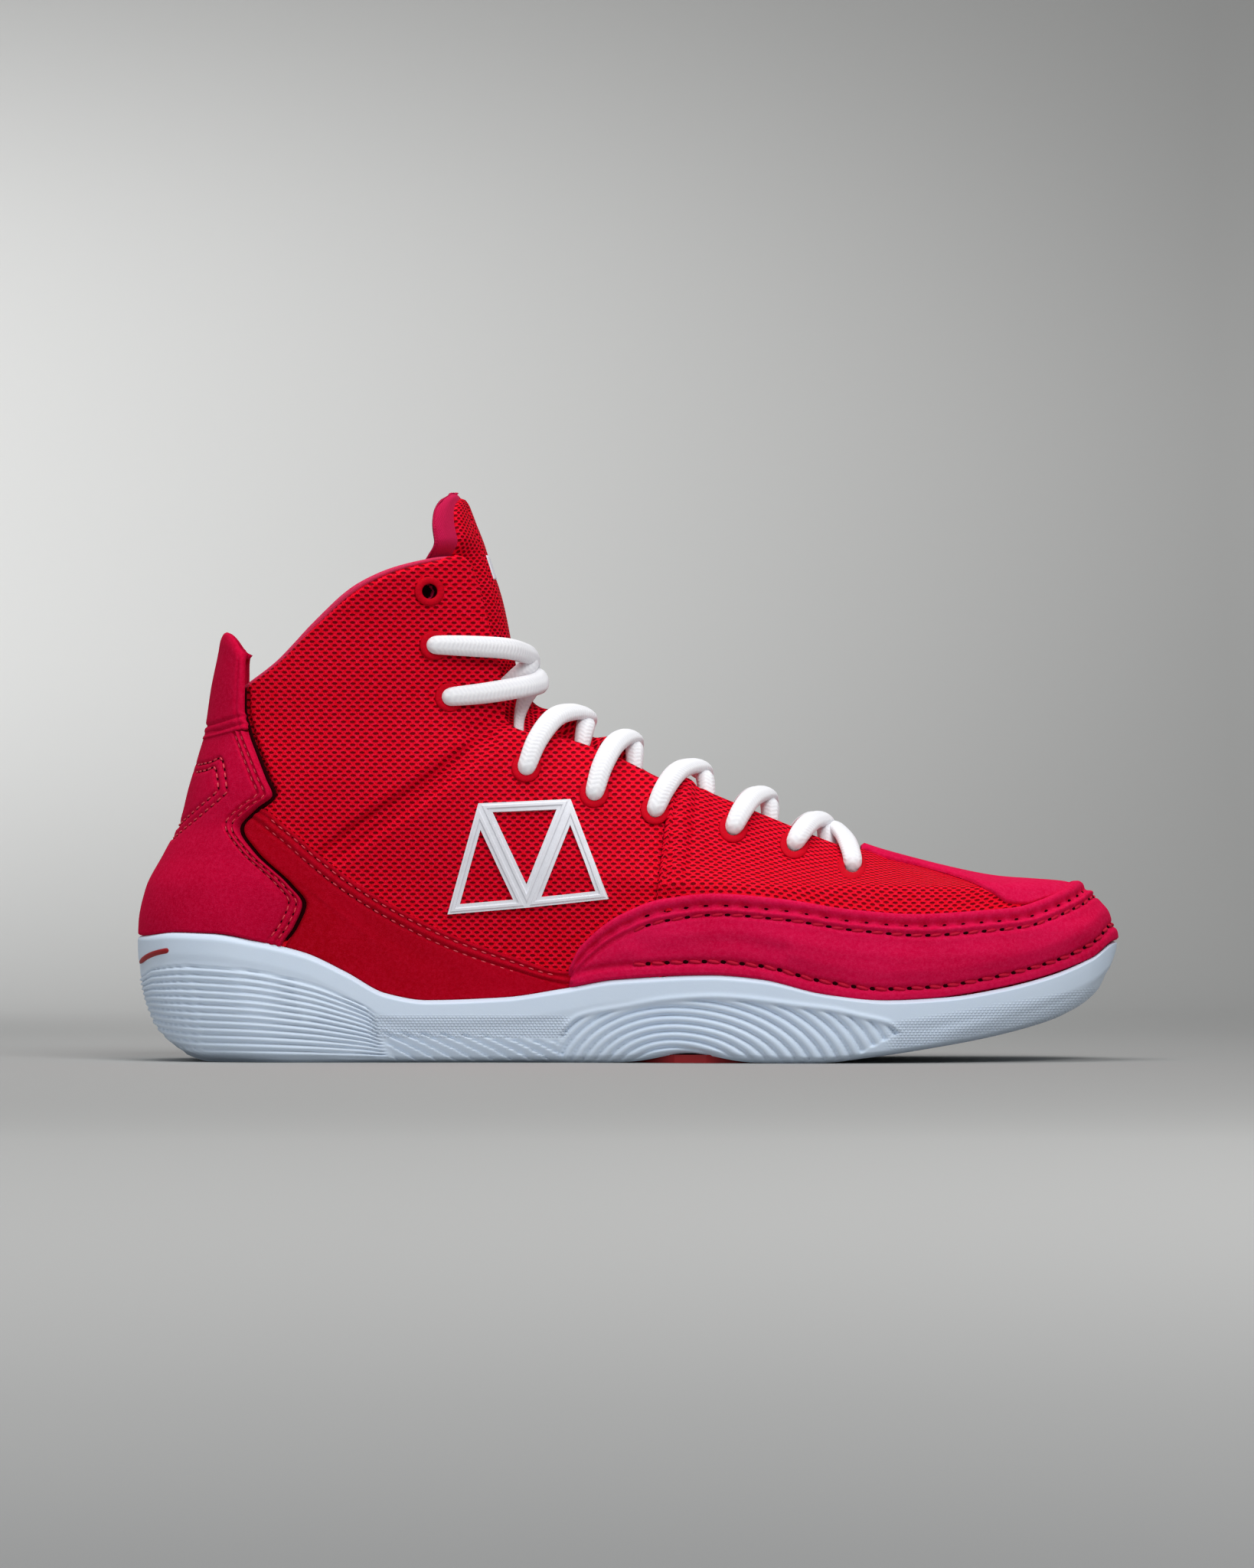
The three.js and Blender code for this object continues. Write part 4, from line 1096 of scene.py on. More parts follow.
    def tread_plate(self) -> bpy.types.Object:
        """Returns the underside, ribbed, with seats round the inserts."""
        deselect()
        bpy.ops.mesh.primitive_grid_add(x_subdivisions=300, y_subdivisions=96, size=2)
        piece = adopt("outsole_tread")
        co = read_points(piece)
        last = self.cutter.last
        share = (1 - np.cos(np.pi * (co[:, 0] + 1) / 2)) / 2
        x = 14 + (Last.LENGTH - 28) * share
        _, edge = self.ring(np.arccos(1 - 2 * share) / (2 * np.pi), 14 + 0 * x, 5 + 0 * x)
        middle = last.centre(x, 30 + 0 * x)
        y = middle + co[:, 1] * np.abs(edge - middle)
        z = last.tread(x) + 2.9 * groove(x - 163, 11.5) * smooth((np.abs(co[:, 1]) - 0.55) / 0.4)
        ribs = 0.5 - 0.5 * np.cos(2 * np.pi * (x + 0.02 * (y - middle) ** 2) / 6.5)
        inside = smooth((1 - np.abs(co[:, 1])) / 0.08) * smooth((x - 20) / 4) * smooth((272 - x) / 4)
        discs = np.minimum(np.hypot((x - 168) / 31.5, (y + 4) / 39.5), np.hypot((x - 46) / 21.5, y / 22.5))
        z = z + 1.1 * ribs ** 2 * inside * smooth((discs - 1.0) / 0.05)
        z = z + 2.3 * (1 - smooth((discs - 0.985) / 0.02)) * (z < 3)
        write_points(piece, last.to_row(np.stack([x, y, z], axis=-1)))
        piece.data.flip_normals()
        return piece

    def build(self) -> list[bpy.types.Object]:
        """Returns the dressed sole pieces."""
        dress = self.wardrobe.dress
        pieces = [dress(self.wall(), self.wardrobe.rubber, "sole_rubber", "outsole"),
                  dress(self.tread_plate(), self.wardrobe.tread, "sole_rubber")]
        for side in Side:
            line = Track([(0.4, 28.9), (3, 30.8), (6, 32), (10, 32.9)])
            share = np.linspace(0, 1, 30)
            spots = line.at(share)
            x, y = self.ring(np.arccos(1 - 2 * np.clip(spots[:, 0] / 290 + 0.0004, 0, 1)) / (2 * np.pi),
                             0 * share, 0 * share)
            middle = self.cutter.last.centre(x, 30 + 0 * x)
            y = middle + side.value * np.abs(y - middle)
            points = np.stack([x, y, spots[:, 1]], axis=-1)
            normals = np.stack([-np.ones(30), side.value * np.linspace(0.2, 1, 30), 0 * share], axis=-1)
            normals = unit(normals)
            across = 0.85 * roll(np.minimum(share * 0.5, 1 - share), 0.1) + 0.05
            inlay = self.cutter.cord(f"heel_inlay_{side.word}", points + normals * 0.1, across, 0.6 + 0 * share,
                                     normals, 8)
            pieces.append(dress(inlay, self.wardrobe.red_rubber, "red_rubber"))
        return pieces


@dataclass
class Upper:
    """The mesh body of the boot: quarters, vamp, linings, collar piping and creases."""

    cutter: Cutter
    wardrobe: Wardrobe
    lining_depth: float = 5.0
    tuck: float = 3.0
    lap: float = 2.2
    toe_end: float = 276.0
    throat_half: float = 12.0
    throat_end: float = 205.0

    def quarter_place(self, side: Side, foot_drop: float, trim: float = 0.0, ceiling: float = 99.0) -> Place:
        """Returns the place of one side of the upper, up to the collar and facing."""
        last = self.cutter.last
        top = Track([(float(last.back(106.0)), 106 - trim)] + [(x, z - trim) for x, z in COLLAR[1:] + FACING[1:]], 6)
        low_z = float(last.lip(seam_x(20.0)) - foot_drop)

        def foot(u: Array) -> Array:
            x0 = last.back(last.lip(0.0) - foot_drop)
            x = x0 + (seam_x(low_z) - x0) * u ** 1.7
            return np.stack([x, np.minimum(last.lip(x) - foot_drop, ceiling)], axis=-1)

        def rear(v: Array) -> Array:
            z = foot(0 * v)[..., 1] * (1 - v) + (106 - trim) * v
            return np.stack([last.back(z), z], axis=-1)

        def fore(v: Array) -> Array:
            z = foot(0 * v + 1)[..., 1] * (1 - v) + (81 - trim) * v
            return np.stack([seam_x(z), z], axis=-1)

        return self.cutter.patch(foot, lambda u: top.at(u ** 1.5), rear, fore, side)

    def quarter_relief(self, grid: Grid) -> Array:
        """Returns creases, eyelet pits, soft padding and the rounded free edges."""
        x, z = grid.x, grid.z
        height = 0.25 * np.sin(x / 9.5 + z / 14) * np.sin(z / 11 - x / 23)
        for crease, deep in zip(CREASES, (3.1, 2.5)):
            depth = np.interp(x, [50, 62, 90, 108], [0, deep, deep, deep * 0.4])
            height = height - depth * groove(crease.distance(x, z), 1.5)
        beyond = x - HEEL_EDGE(z)
        height = height - 1.7 * groove(beyond - 0.5, 1.0) * smooth((z - 36) / 6) * (1 - smooth((z - 108) / 4))
        between = Track([(56, 59.5), (68, 68.8), (82, 78), (96.5, 88.8), (105, 95.8)])
        height = height + 0.7 * groove(between.distance(x, z), 7) * smooth((x - 50) / 20)
        height = height - 2.4 * groove(Track([(100, 97.5), (107, 101), (113, 103)]).distance(x, z), 3.2)
        height = height + dip_at(x, z, EYELETS[3:], PIT_RADIUS, PIT_DEPTH)
        height = height - 5.0 * (1 - roll(grid.high, 2.2))
        return height - 1.9 * (1 - smooth(grid.right / 4.4))

    def quarter(self, side: Side) -> bpy.types.Object:
        """Returns one side's mesh panel."""
        piece = self.cutter.lay(f"{side.word}_quarter", self.quarter_place(side, 3), (190, 170),
                                self.quarter_relief, crowd=(0.0, 0.35))
        self.wardrobe.dress(piece, self.wardrobe.mesh, "mesh", f"{side.word}_quarter_mesh")
        self.wardrobe.darken(piece, EYELETS[3:], self.cutter.last.shift, DARK_RADIUS)
        return piece

    def lining(self, side: Side) -> bpy.types.Object:
        """Returns one side's lining."""
        def relief(g: Grid) -> Array:
            return 0.3 * (1 - roll(g.high, 2)) - self.lining_depth - 9.0 * (1 - roll(g.low, 9))

        piece = self.cutter.lay(f"{side.word}_lining", self.quarter_place(side, 14, 0.4, 10.5), (70, 60), relief,
                                inward=True)
        return self.wardrobe.dress(piece, self.wardrobe.lining, "lining", f"{side.word}_quarter_lining")

    def vamp_half(self, side: Side) -> bpy.types.Object:
        """Returns half of the forefoot, open along the throat."""
        last = self.cutter.last

        def place(u: Array, v: Array) -> tuple[Array, Array, Array]:
            reach = 1 - (1 - v) ** 1.2
            turn = np.sin(np.pi / 2 * u)
            z_low = last.lip(152.0) - self.tuck
            start = seam_x(z_low + (SEAM[1][1] - z_low) * turn) - self.lap
            x = start + (self.toe_end - start) * reach
            past = np.clip((x - self.throat_end) / self.throat_half, 0, 1)
            z_high = last.ridge(x, self.throat_half * np.sqrt(np.clip(1 - past ** 2, 0, 1)))
            low = last.lip(x) - self.tuck
            return x, low + (z_high - low) * turn, np.full(u.shape, float(side.value))

        def relief(g: Grid) -> Array:
            height = 0.4 + 0.2 * np.sin(g.x / 8 + g.z / 9)
            height = height + 1.5 * roll(g.low, 0.9) * (1 - smooth((g.low - 5) / 9)) - 0.5 * (1 - roll(g.low, 0.9))
            height = height - 1.3 * groove(g.low - 2.4, 0.8) - 0.9 * groove(g.low - 8.5, 1.6)
            pucker = np.sin(g.left * 1.1) * (1 - smooth((g.low - 3) / 8))
            height = height + 0.22 * pucker
            height = height + dip_at(g.x, g.z, EYELETS[:3], PIT_RADIUS, PIT_DEPTH)
            open_edge = 1 - smooth((g.x - 212) / 6)
            return height - 4.2 * (1 - roll(g.right, 2.2)) * open_edge

        return self.cutter.lay(f"vamp_{side.word}", place, (110, 150), relief, Weave.ARCH)

    def vamp(self) -> bpy.types.Object:
        """Returns the whole forefoot panel."""
        piece = join("vamp", [self.vamp_half(side) for side in Side])
        sew_doubles(piece, 4e-5)
        self.wardrobe.dress(piece, self.wardrobe.mesh, "mesh", "vamp_mesh")
        self.wardrobe.darken(piece, EYELETS[:3], self.cutter.last.shift, DARK_RADIUS)
        return piece

    def collar_piping(self) -> bpy.types.Object:
        """Returns the padded roll round the top, from one facing over the heel to the other."""
        last = self.cutter.last
        line = Track([(float(last.back(106.0)) + 0.03, 106.2)] + [(x, z + 0.4) for x, z in COLLAR[1:]])
        t = np.linspace(-1, 1, 241)
        spots = line.at(np.abs(t) ** 1.6)
        base = last.skin(spots[:, 0], spots[:, 1], np.where(t < 0, -1.0, 1.0))
        normal = last.normal(base)
        ends = roll((1 - np.abs(t)) * 90, 6)
        across = (1.8 - 0.5 * smooth((np.abs(t) - 0.7) / 0.3)) * (0.3 + 0.7 * ends)
        piece = self.cutter.cord("collar_piping", base - normal * 2.6 - np.array([0, 0, 0.5]),
                                 across, 0.55 + 0 * t, np.tile([-0.35, 0.0, 0.94], (len(t), 1)), 14)
        return self.wardrobe.dress(piece, self.wardrobe.piping, "lining", "collar_binding")

    def seam_stitch(self, side: Side) -> bpy.types.Object:
        """Returns the stitches that hold the vamp on the quarter."""
        z = np.linspace(51, 79, 200)
        points, normals = self.cutter.on_skin(np.stack([seam_x(z) + 0.2, z], axis=-1), float(side.value), 0.75)
        piece = self.cutter.stitches(f"vamp_seam_stitch_{side.word}", points, normals, 2.7, (0.95, 0.3, 0.3))
        return self.wardrobe.dress(piece, self.wardrobe.thread, "mesh")

    def build(self) -> list[bpy.types.Object]:
        """Returns the mesh pieces."""
        pieces = [make(side) for side in Side for make in (self.quarter, self.lining, self.seam_stitch)]
        return [*pieces, self.vamp(), self.collar_piping()]


@dataclass(frozen=True)
class Row:
    """One row of sewing: its pitch, the size of its stitches and of the needle holes between them."""

    pitch: float
    stitch: tuple[float, float, float]
    hole: tuple[float, float, float] | None = None
    lean: float = 0.0
    bright: bool = False


@dataclass
class Overlays:
    """The suede laid over the mesh: toe rand, toe top, heel piece, side bands, and their seams."""

    cutter: Cutter
    wardrobe: Wardrobe
    rand_rows: tuple[float, float, float] = (3.9, 6.7, 4.2)
    heel_rows: tuple[float, float] = (1.9, 4.1)
    band_rows: tuple[float, float] = (1.6, 4.2)
    rand_top: Row = Row(5.9, (1.75, 0.62, 0.5), (1.15, 0.85, 0.5))
    rand_second: Row = Row(5.9, (1.9, 0.5, 0.5), (0.95, 0.6, 0.45), 6.0)
    rand_low: Row = Row(5.5, (2.0, 0.55, 0.55), (0.85, 0.65, 0.45), -9.0)
    fine: Row = Row(2.9, (0.85, 0.24, 0.27), (0.42, 0.27, 0.2), 0.0, True)

    def finish(self, piece: bpy.types.Object, node: str, rose: bool = False) -> bpy.types.Object:
        """Dresses an overlay in suede, or in the lighter copy of it that paints the light on the toe."""
        return self.wardrobe.dress(piece, self.wardrobe.rose if rose else self.wardrobe.suede, "suede", node)

    def sew(self, name: str, points: Array, normals: Array, row: Row) -> list[bpy.types.Object]:
        """Returns a row of stitches and its needle holes."""
        thread = self.wardrobe.bright_thread if row.bright else self.wardrobe.thread
        made = [self.wardrobe.dress(self.cutter.stitches(name, points, normals, row.pitch, row.stitch, row.lean),
                                    thread, "suede")]
        if row.hole:
            run = run_along(points)
            start = float(np.interp(row.pitch / 2, run, np.arange(len(run))))
            keep = slice(int(round(start)), None)
            low = points[keep] - normals[keep] * (row.stitch[2] * 0.5)
            # Dark beads between the stitches stand for the needle holes: painted shade.
            holes = self.cutter.stitches(f"{name}_holes", low, normals[keep], row.pitch, row.hole, row.lean)
            made.append(self.wardrobe.dress(holes, self.wardrobe.hole, "suede"))
        return made

    def belt_row(self, place: Place, name: str, offset: float, from_top: bool, height: float,
                 row: Row) -> list[bpy.types.Object]:
        """Returns a row along a belt, at a distance from its top or foot edge.

        Args:
            place: the belt.
            name: the row's name.
            offset: distance from the edge.
            from_top: whether that is the top edge.
            height: height over the skin.
            row: the sewing.

        Returns:
            The stitches and holes.
        """
        last = self.cutter.last
        u, v = np.meshgrid(np.linspace(0.03, 0.97, 900), np.linspace(0, 1, 60), indexing="ij")
        x, z, side = place(u, v)
        base = last.skin(x, z, side)
        run = run_along(base, 1)
        want = run[:, -1] - offset if from_top else np.full(len(u), offset)
        share = np.array([np.interp(w, r, v[0]) for w, r in zip(want, run)])
        x, z, side = place(u[:, 0], share)
        points = last.skin(x, z, side)
        normals = last.normal(points)
        return self.sew(name, points + normals * height, normals, row)

    def side_row(self, place: Place, name: str, offset: float, side: Side, height: float,
                 row: Row) -> list[bpy.types.Object]:
        """Returns a row up a belt, at a distance from its front edge on one side.

        Args:
            place: the belt.
            name: the row's name.
            offset: distance from the edge.
            side: which end of the belt.
            height: height over the skin.
            row: the sewing.

        Returns:
            The stitches and holes.
        """
        last = self.cutter.last
        v, w = np.meshgrid(np.linspace(0.03, 0.985, 700), np.linspace(0, 0.35, 80), indexing="ij")
        end = 0.0 if side is Side.LATERAL else 1.0
        u = np.abs(end - w)
        x, z, wing = place(u, v)
        base = last.skin(x, z, wing)
        run = run_along(base, 1)
        share = np.array([np.interp(offset, r, w[0]) for r in run])
        x, z, wing = place(np.abs(end - share), v[:, 0])
        points = last.skin(x, z, wing)
        normals = last.normal(points)
        return self.sew(name, points + normals * height, normals, row)

    def toe_rand(self) -> list[bpy.types.Object]:
        """Returns the thick toe wrap and its three rows of stitching."""
        last, cutter = self.cutter.last, self.cutter
        place = cutter.round_toe(127.5, lambda x: last.lip(x) + 0.2, RAND_TOP)
        top1, top2, low1 = self.rand_rows

        def relief(g: Grid) -> Array:
            height = 3.0 * roll(g.edge, 1.2) - 0.3
            pinch = 0.75 + 0.25 * np.cos(2 * np.pi * g.left / self.rand_top.pitch)
            height = height - 1.7 * pinch * groove(g.high - top1, 0.95) - 0.95 * groove(g.high - top2, 0.75)
            height = height - 1.1 * groove(g.low - low1, 0.95) * roll(g.left, 6) * roll(g.right, 6)
            height = height + 0.35 * groove(g.high - (top1 + top2) / 2, 0.9) + 0.25 * groove(g.high - 1.8, 1.0)
            crease = Track([(150, 34), (175, 35.5), (190, 33)])
            height = height - 0.8 * groove(crease.distance(g.x, g.z), 2.5)
            belly = smooth((g.high - 8) / 6) * smooth((g.low - 5) / 5)
            return height + 0.9 * belly + 0.14 * np.sin(g.left / 5 + np.sin(g.left / 17)) * belly

        rand = cutter.lay("toe_rand_suede", place, (560, 72), relief, Weave.ALONG, (0.0, 0.4))
        # The rand wears the lighter copy of the suede: painted light.
        return [self.finish(rand, "toe_rand", True),
                *self.belt_row(place, "rand_stitch_top", top1, True, 1.15, self.rand_top),
                *self.belt_row(place, "rand_stitch_second", top2, True, 2.0, self.rand_second),
                *self.belt_row(place, "rand_stitch_low", low1, False, 1.95, self.rand_low)]

    def toe_top(self) -> list[bpy.types.Object]:
        """Returns the smooth suede over the toes."""
        last = self.cutter.last
        low = Curve((212, 62.4), (222, 59.2), (232, 57), (245, 53), (252, 49.6), (257, 46.4), (262, 46),
                    (268, 47.5), (276, 49))

        def place(u: Array, v: Array) -> tuple[Array, Array, Array]:
            x = 214.0 + (279.0 - 214.0) * v
            turn = np.sin(np.pi * np.minimum(u, 1 - u))
            top = last.ridge(x)
            foot = np.minimum(low(x), top - 0.02)
            return x, foot + (top - foot) * turn, np.where(u < 0.5, -1.0, 1.0)

        def relief(g: Grid) -> Array:
            side_edge = np.minimum(g.left, g.right)
            dent = 0.45 * groove(side_edge - 2.0, 0.45) + 0.35 * groove(side_edge - 4.0, 0.45)
            dent = dent * (1 - smooth((g.x - 246) / 8))
            return 0.35 + 1.1 * roll(g.edge, 0.9) - dent + 0.25 * np.sin(g.x / 7) * smooth((side_edge - 4) / 5)

        piece = self.cutter.lay("toe_top_suede", place, (150, 90), relief, Weave.ALONG)
        # The toe top wears the lighter copy of the suede: painted light.
        return [self.finish(piece, "toe_top_overlay", True)]

    def heel(self) -> list[bpy.types.Object]:
        """Returns the heel piece with its seams, and a near-black cord along its edge that paints the shadow in the
        gap.
        """
        last, cutter = self.cutter.last, self.cutter
        place = cutter.round_heel(HEEL_EDGE, lambda x: last.lip(x) + 0.2, 97.0)
        patch = [Track([(19.9, 86.8), (23.5, 87.6), (27.0, 88.5), (28.4, 79.5), (28.0, 78.6), (20, 71.4),
                        (12.2, 64.5)]),
                 Track([(19.4, 84.6), (22.5, 85.3), (25.0, 85.9), (26.0, 80.0), (25.4, 79.0), (19, 73.4),
                        (13.4, 68)])]

        def relief(g: Grid) -> Array:
            side_edge = np.minimum(g.left, g.right)
            height = 2.9 * roll(np.minimum(side_edge, g.low), 0.9) - 0.35
            for offset in self.heel_rows:
                height = height - 0.75 * groove(side_edge - offset, 0.6)
            for line in patch:
                height = height - 0.55 * groove(line.distance(g.x, g.z), 0.55)
            puff = 0.4 * smooth((side_edge - 5) / 4) * smooth((62 - g.z) / 14)
            return height + puff + 0.25 * (groove(side_edge - 3.0, 0.5) + groove(side_edge - 0.9, 0.4))

        heel = cutter.lay("heel_suede_piece", place, (340, 150), relief, Weave.ALONG, (0.3, 0.0))
        pieces = [self.finish(heel, "heel_suede")]
        for side in Side:
            for k, offset in enumerate(self.heel_rows):
                pieces += self.side_row(place, f"heel_stitch_{side.word}_{k}", offset, side, 2.0, self.fine)
            # A near-black cord along the heel piece's edge: painted shadow in the gap between the suede and the mesh.
            z = np.linspace(36, 110, 260)
            points, normals = cutter.on_skin(np.stack([HEEL_EDGE(z) + 0.5, z], axis=-1), float(side.value), 0.0)
            shadow_cord = cutter.cord(f"heel_edge_tape_{side.word}", points, 0.62 + 0 * z, 0.5 + 0 * z, normals, 8)
            pieces.append(self.wardrobe.dress(shadow_cord, self.wardrobe.hole, "lining"))
            for k, line in enumerate(patch):
                points, normals = cutter.on_skin(line.at(np.linspace(0, 1, 300)), float(side.value), 2.3)
                pieces += self.sew(f"heel_patch_stitch_{side.word}_{k}", points, normals, self.fine)
        return pieces

    def band(self, side: Side) -> list[bpy.types.Object]:
        """Returns the suede band under the ankle, with two rows of stitching."""
        last, cutter = self.cutter.last, self.cutter

        def rear(v: Array) -> Array:
            z = 34.5 + 40.5 * v
            return np.stack([HEEL_EDGE(z) - 3.5, z], axis=-1)

        def foot(u: Array) -> Array:
            x0 = float(HEEL_EDGE(34.5)) - 3.5
            x = x0 + (131.0 - x0) * u
            return np.stack([x, last.lip(x) + 0.2], axis=-1)

        def top(u: Array) -> Array:
            x0 = float(HEEL_EDGE(75.0)) - 3.5
            x = x0 + (131.0 - x0) * u
            return np.stack([x, BAND_TOP(x) + 0 * x], axis=-1)

        def fore(v: Array) -> Array:
            return foot(0 * v + 1) * (1 - v[..., None]) + top(0 * v + 1) * v[..., None]

        def relief(g: Grid) -> Array:
            height = 1.5 * roll(np.minimum(g.high, g.low), 0.9) - 0.2
            for offset in self.band_rows:
                height = height - 0.55 * groove(g.high - offset, 0.5)
            height = height + 0.3 * groove(g.high - 2.9, 0.7)
            beyond = g.x - HEEL_EDGE(g.z)
            height = height - 2.2 * groove(beyond - 0.5, 0.9) - 0.8 * groove(g.x - 128, 3)
            return height + 0.12 * np.sin(g.left / 9) * np.sin(g.high / 6)

        band = cutter.lay(f"{side.word}_band_suede", cutter.patch(foot, top, rear, fore, side), (260, 76), relief,
                          Weave.ALONG, (0.0, 0.4))
        pieces = [self.finish(band, f"{side.word}_side_band")]
        # The band wears the darker copy of the suede: painted shade.
        self.wardrobe.wear(band, self.wardrobe.shaded_suede)
        for k, offset in enumerate(self.band_rows):
            x = np.linspace(41, 124, 600)
            edge = np.stack([x, BAND_TOP(x)], axis=-1)
            run = np.gradient(edge, axis=0)
            across = np.stack([run[:, 1], -run[:, 0]], axis=-1)
            across = unit(across)
            points, normals = cutter.on_skin(edge + across * offset, float(side.value), 0.95)
            pieces += self.sew(f"band_stitch_{side.word}_{k}", points, normals, self.fine)
        return pieces

    def pull_tab(self) -> bpy.types.Object:
        """Returns the folded tab at the top of the heel."""
        last = self.cutter.last
        edge = Curve((90, 36.4), (97, 34.1), (104, 32.7), (118, 32.9), (122, 32.4), (127, 32))

        def place(u: Array, v: Array) -> tuple[Array, Array, Array]:
            t = 2 * u - 1
            low = 94.4 + 3.6 * t * t
            top = 126.6 - 1.2 * t * t - 5.2 * np.abs(t) ** 5
            z = low * (1 - v) + top * v
            return last.back(z) + (edge(z) - last.back(z)) * t * t, z, np.where(t < 0, -1.0, 1.0)

        def relief(g: Grid) -> Array:
            side_edge = np.minimum(g.left, g.right)
            height = 0.9 + 1.9 * roll(side_edge, 2.2) - 1.6 * (1 - roll(g.high, 4.0))
            dent = 0.6 * groove(g.low - 1.6, 0.5) + 0.6 * groove(g.low - 4.2, 0.5)
            return height - dent - 0.4 * groove(side_edge - 2.0, 0.5)

        piece = self.cutter.lay("heel_pull_tab", place, (110, 84), relief, Weave.ALONG)
        apply_modifier(piece, "SOLIDIFY", thickness=0.0021, offset=-1.0, use_even_offset=False)
        self.finish(piece, "pull_tab")
        low = last.to_row(np.array([[22.0, 0, 97.5], [24.0, 0, 106.0]]))
        tuple(low[0])
        tuple(low[1])
        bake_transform(piece)
        return piece

    def build(self) -> list[bpy.types.Object]:
        """Returns the overlays and their stitching. The pull tab is made apart."""
        pieces = [*self.toe_rand(), *self.toe_top(), *self.heel()]
        for side in Side:
            pieces += self.band(side)
        return pieces


@dataclass
class Badge:
    """A plain white trapezium of moulded bars with three windows, on each side."""

    cutter: Cutter
    wardrobe: Wardrobe
    corners: tuple[Spot, ...] = ((92, 43.5), (115.5, 45.5), (139.5, 48), (128, 77), (101, 76))
    bar: float = 2.7

    def build(self) -> list[bpy.types.Object]:
        """Returns both badges."""
        return [self.make(side) for side in Side]

    def make(self, side: Side) -> bpy.types.Object:
        """Returns one badge, drawn flat, inset, raised in steps and bent onto the skin."""
        deselect()
        bpy.ops.mesh.primitive_plane_add(size=2)
        piece = adopt(f"{side.word}_badge_frame")
        a, low, b, c, d = ((x, z, 0.0) for x, z in self.corners)
        mesh = bpy.data.meshes.new(piece.name)
        mesh.from_pydata([a, low, b, c, d], [], [(0, 1, 4), (1, 3, 4), (1, 2, 3)])
        piece.data = mesh
        bpy.ops.object.mode_set(mode="EDIT")
        bpy.ops.mesh.select_mode(type="FACE")
        for width, rise in ((0.45, 0.0), (0.35, 0.35), (0.7, 0.0), (0.3, -0.45), (0.9, 0.0)):
            bpy.ops.mesh.select_all(action="DESELECT")
            self._pick_windows(piece)
            bpy.ops.mesh.inset(thickness=width, depth=rise, use_individual=True)
        bpy.ops.mesh.delete(type="FACE")
        bpy.ops.mesh.select_all(action="SELECT")
        bpy.ops.mesh.subdivide(number_cuts=5)
        bpy.ops.object.mode_set(mode="OBJECT")
        co = read_points(piece)
        last = self.cutter.last
        base = last.skin(co[:, 0], co[:, 1], np.full(len(co), float(side.value)))
        write_points(piece, last.to_row(base + last.normal(base) * (co[:, 2:] + 1.15)))
        if side is Side.MEDIAL:
            piece.data.flip_normals()
        apply_modifier(piece, "SOLIDIFY", thickness=0.0014, offset=-1.0)
        apply_modifier(piece, "BEVEL", width=0.00022, segments=2, limit_method="ANGLE", angle_limit=0.6)
        take(piece)
        bpy.ops.object.shade_smooth_by_angle(angle=math.radians(35))
        return self.wardrobe.dress(piece, self.wardrobe.badge, "white_plastic", f"{side.word}_badge")

    @staticmethod
    def _pick_windows(piece: bpy.types.Object) -> None:
        """Selects the three innermost faces, which stay triangles."""
        bpy.ops.object.mode_set(mode="OBJECT")
        for face in piece.data.polygons:
            face.select = len(face.vertices) == 3
        bpy.ops.object.mode_set(mode="EDIT")


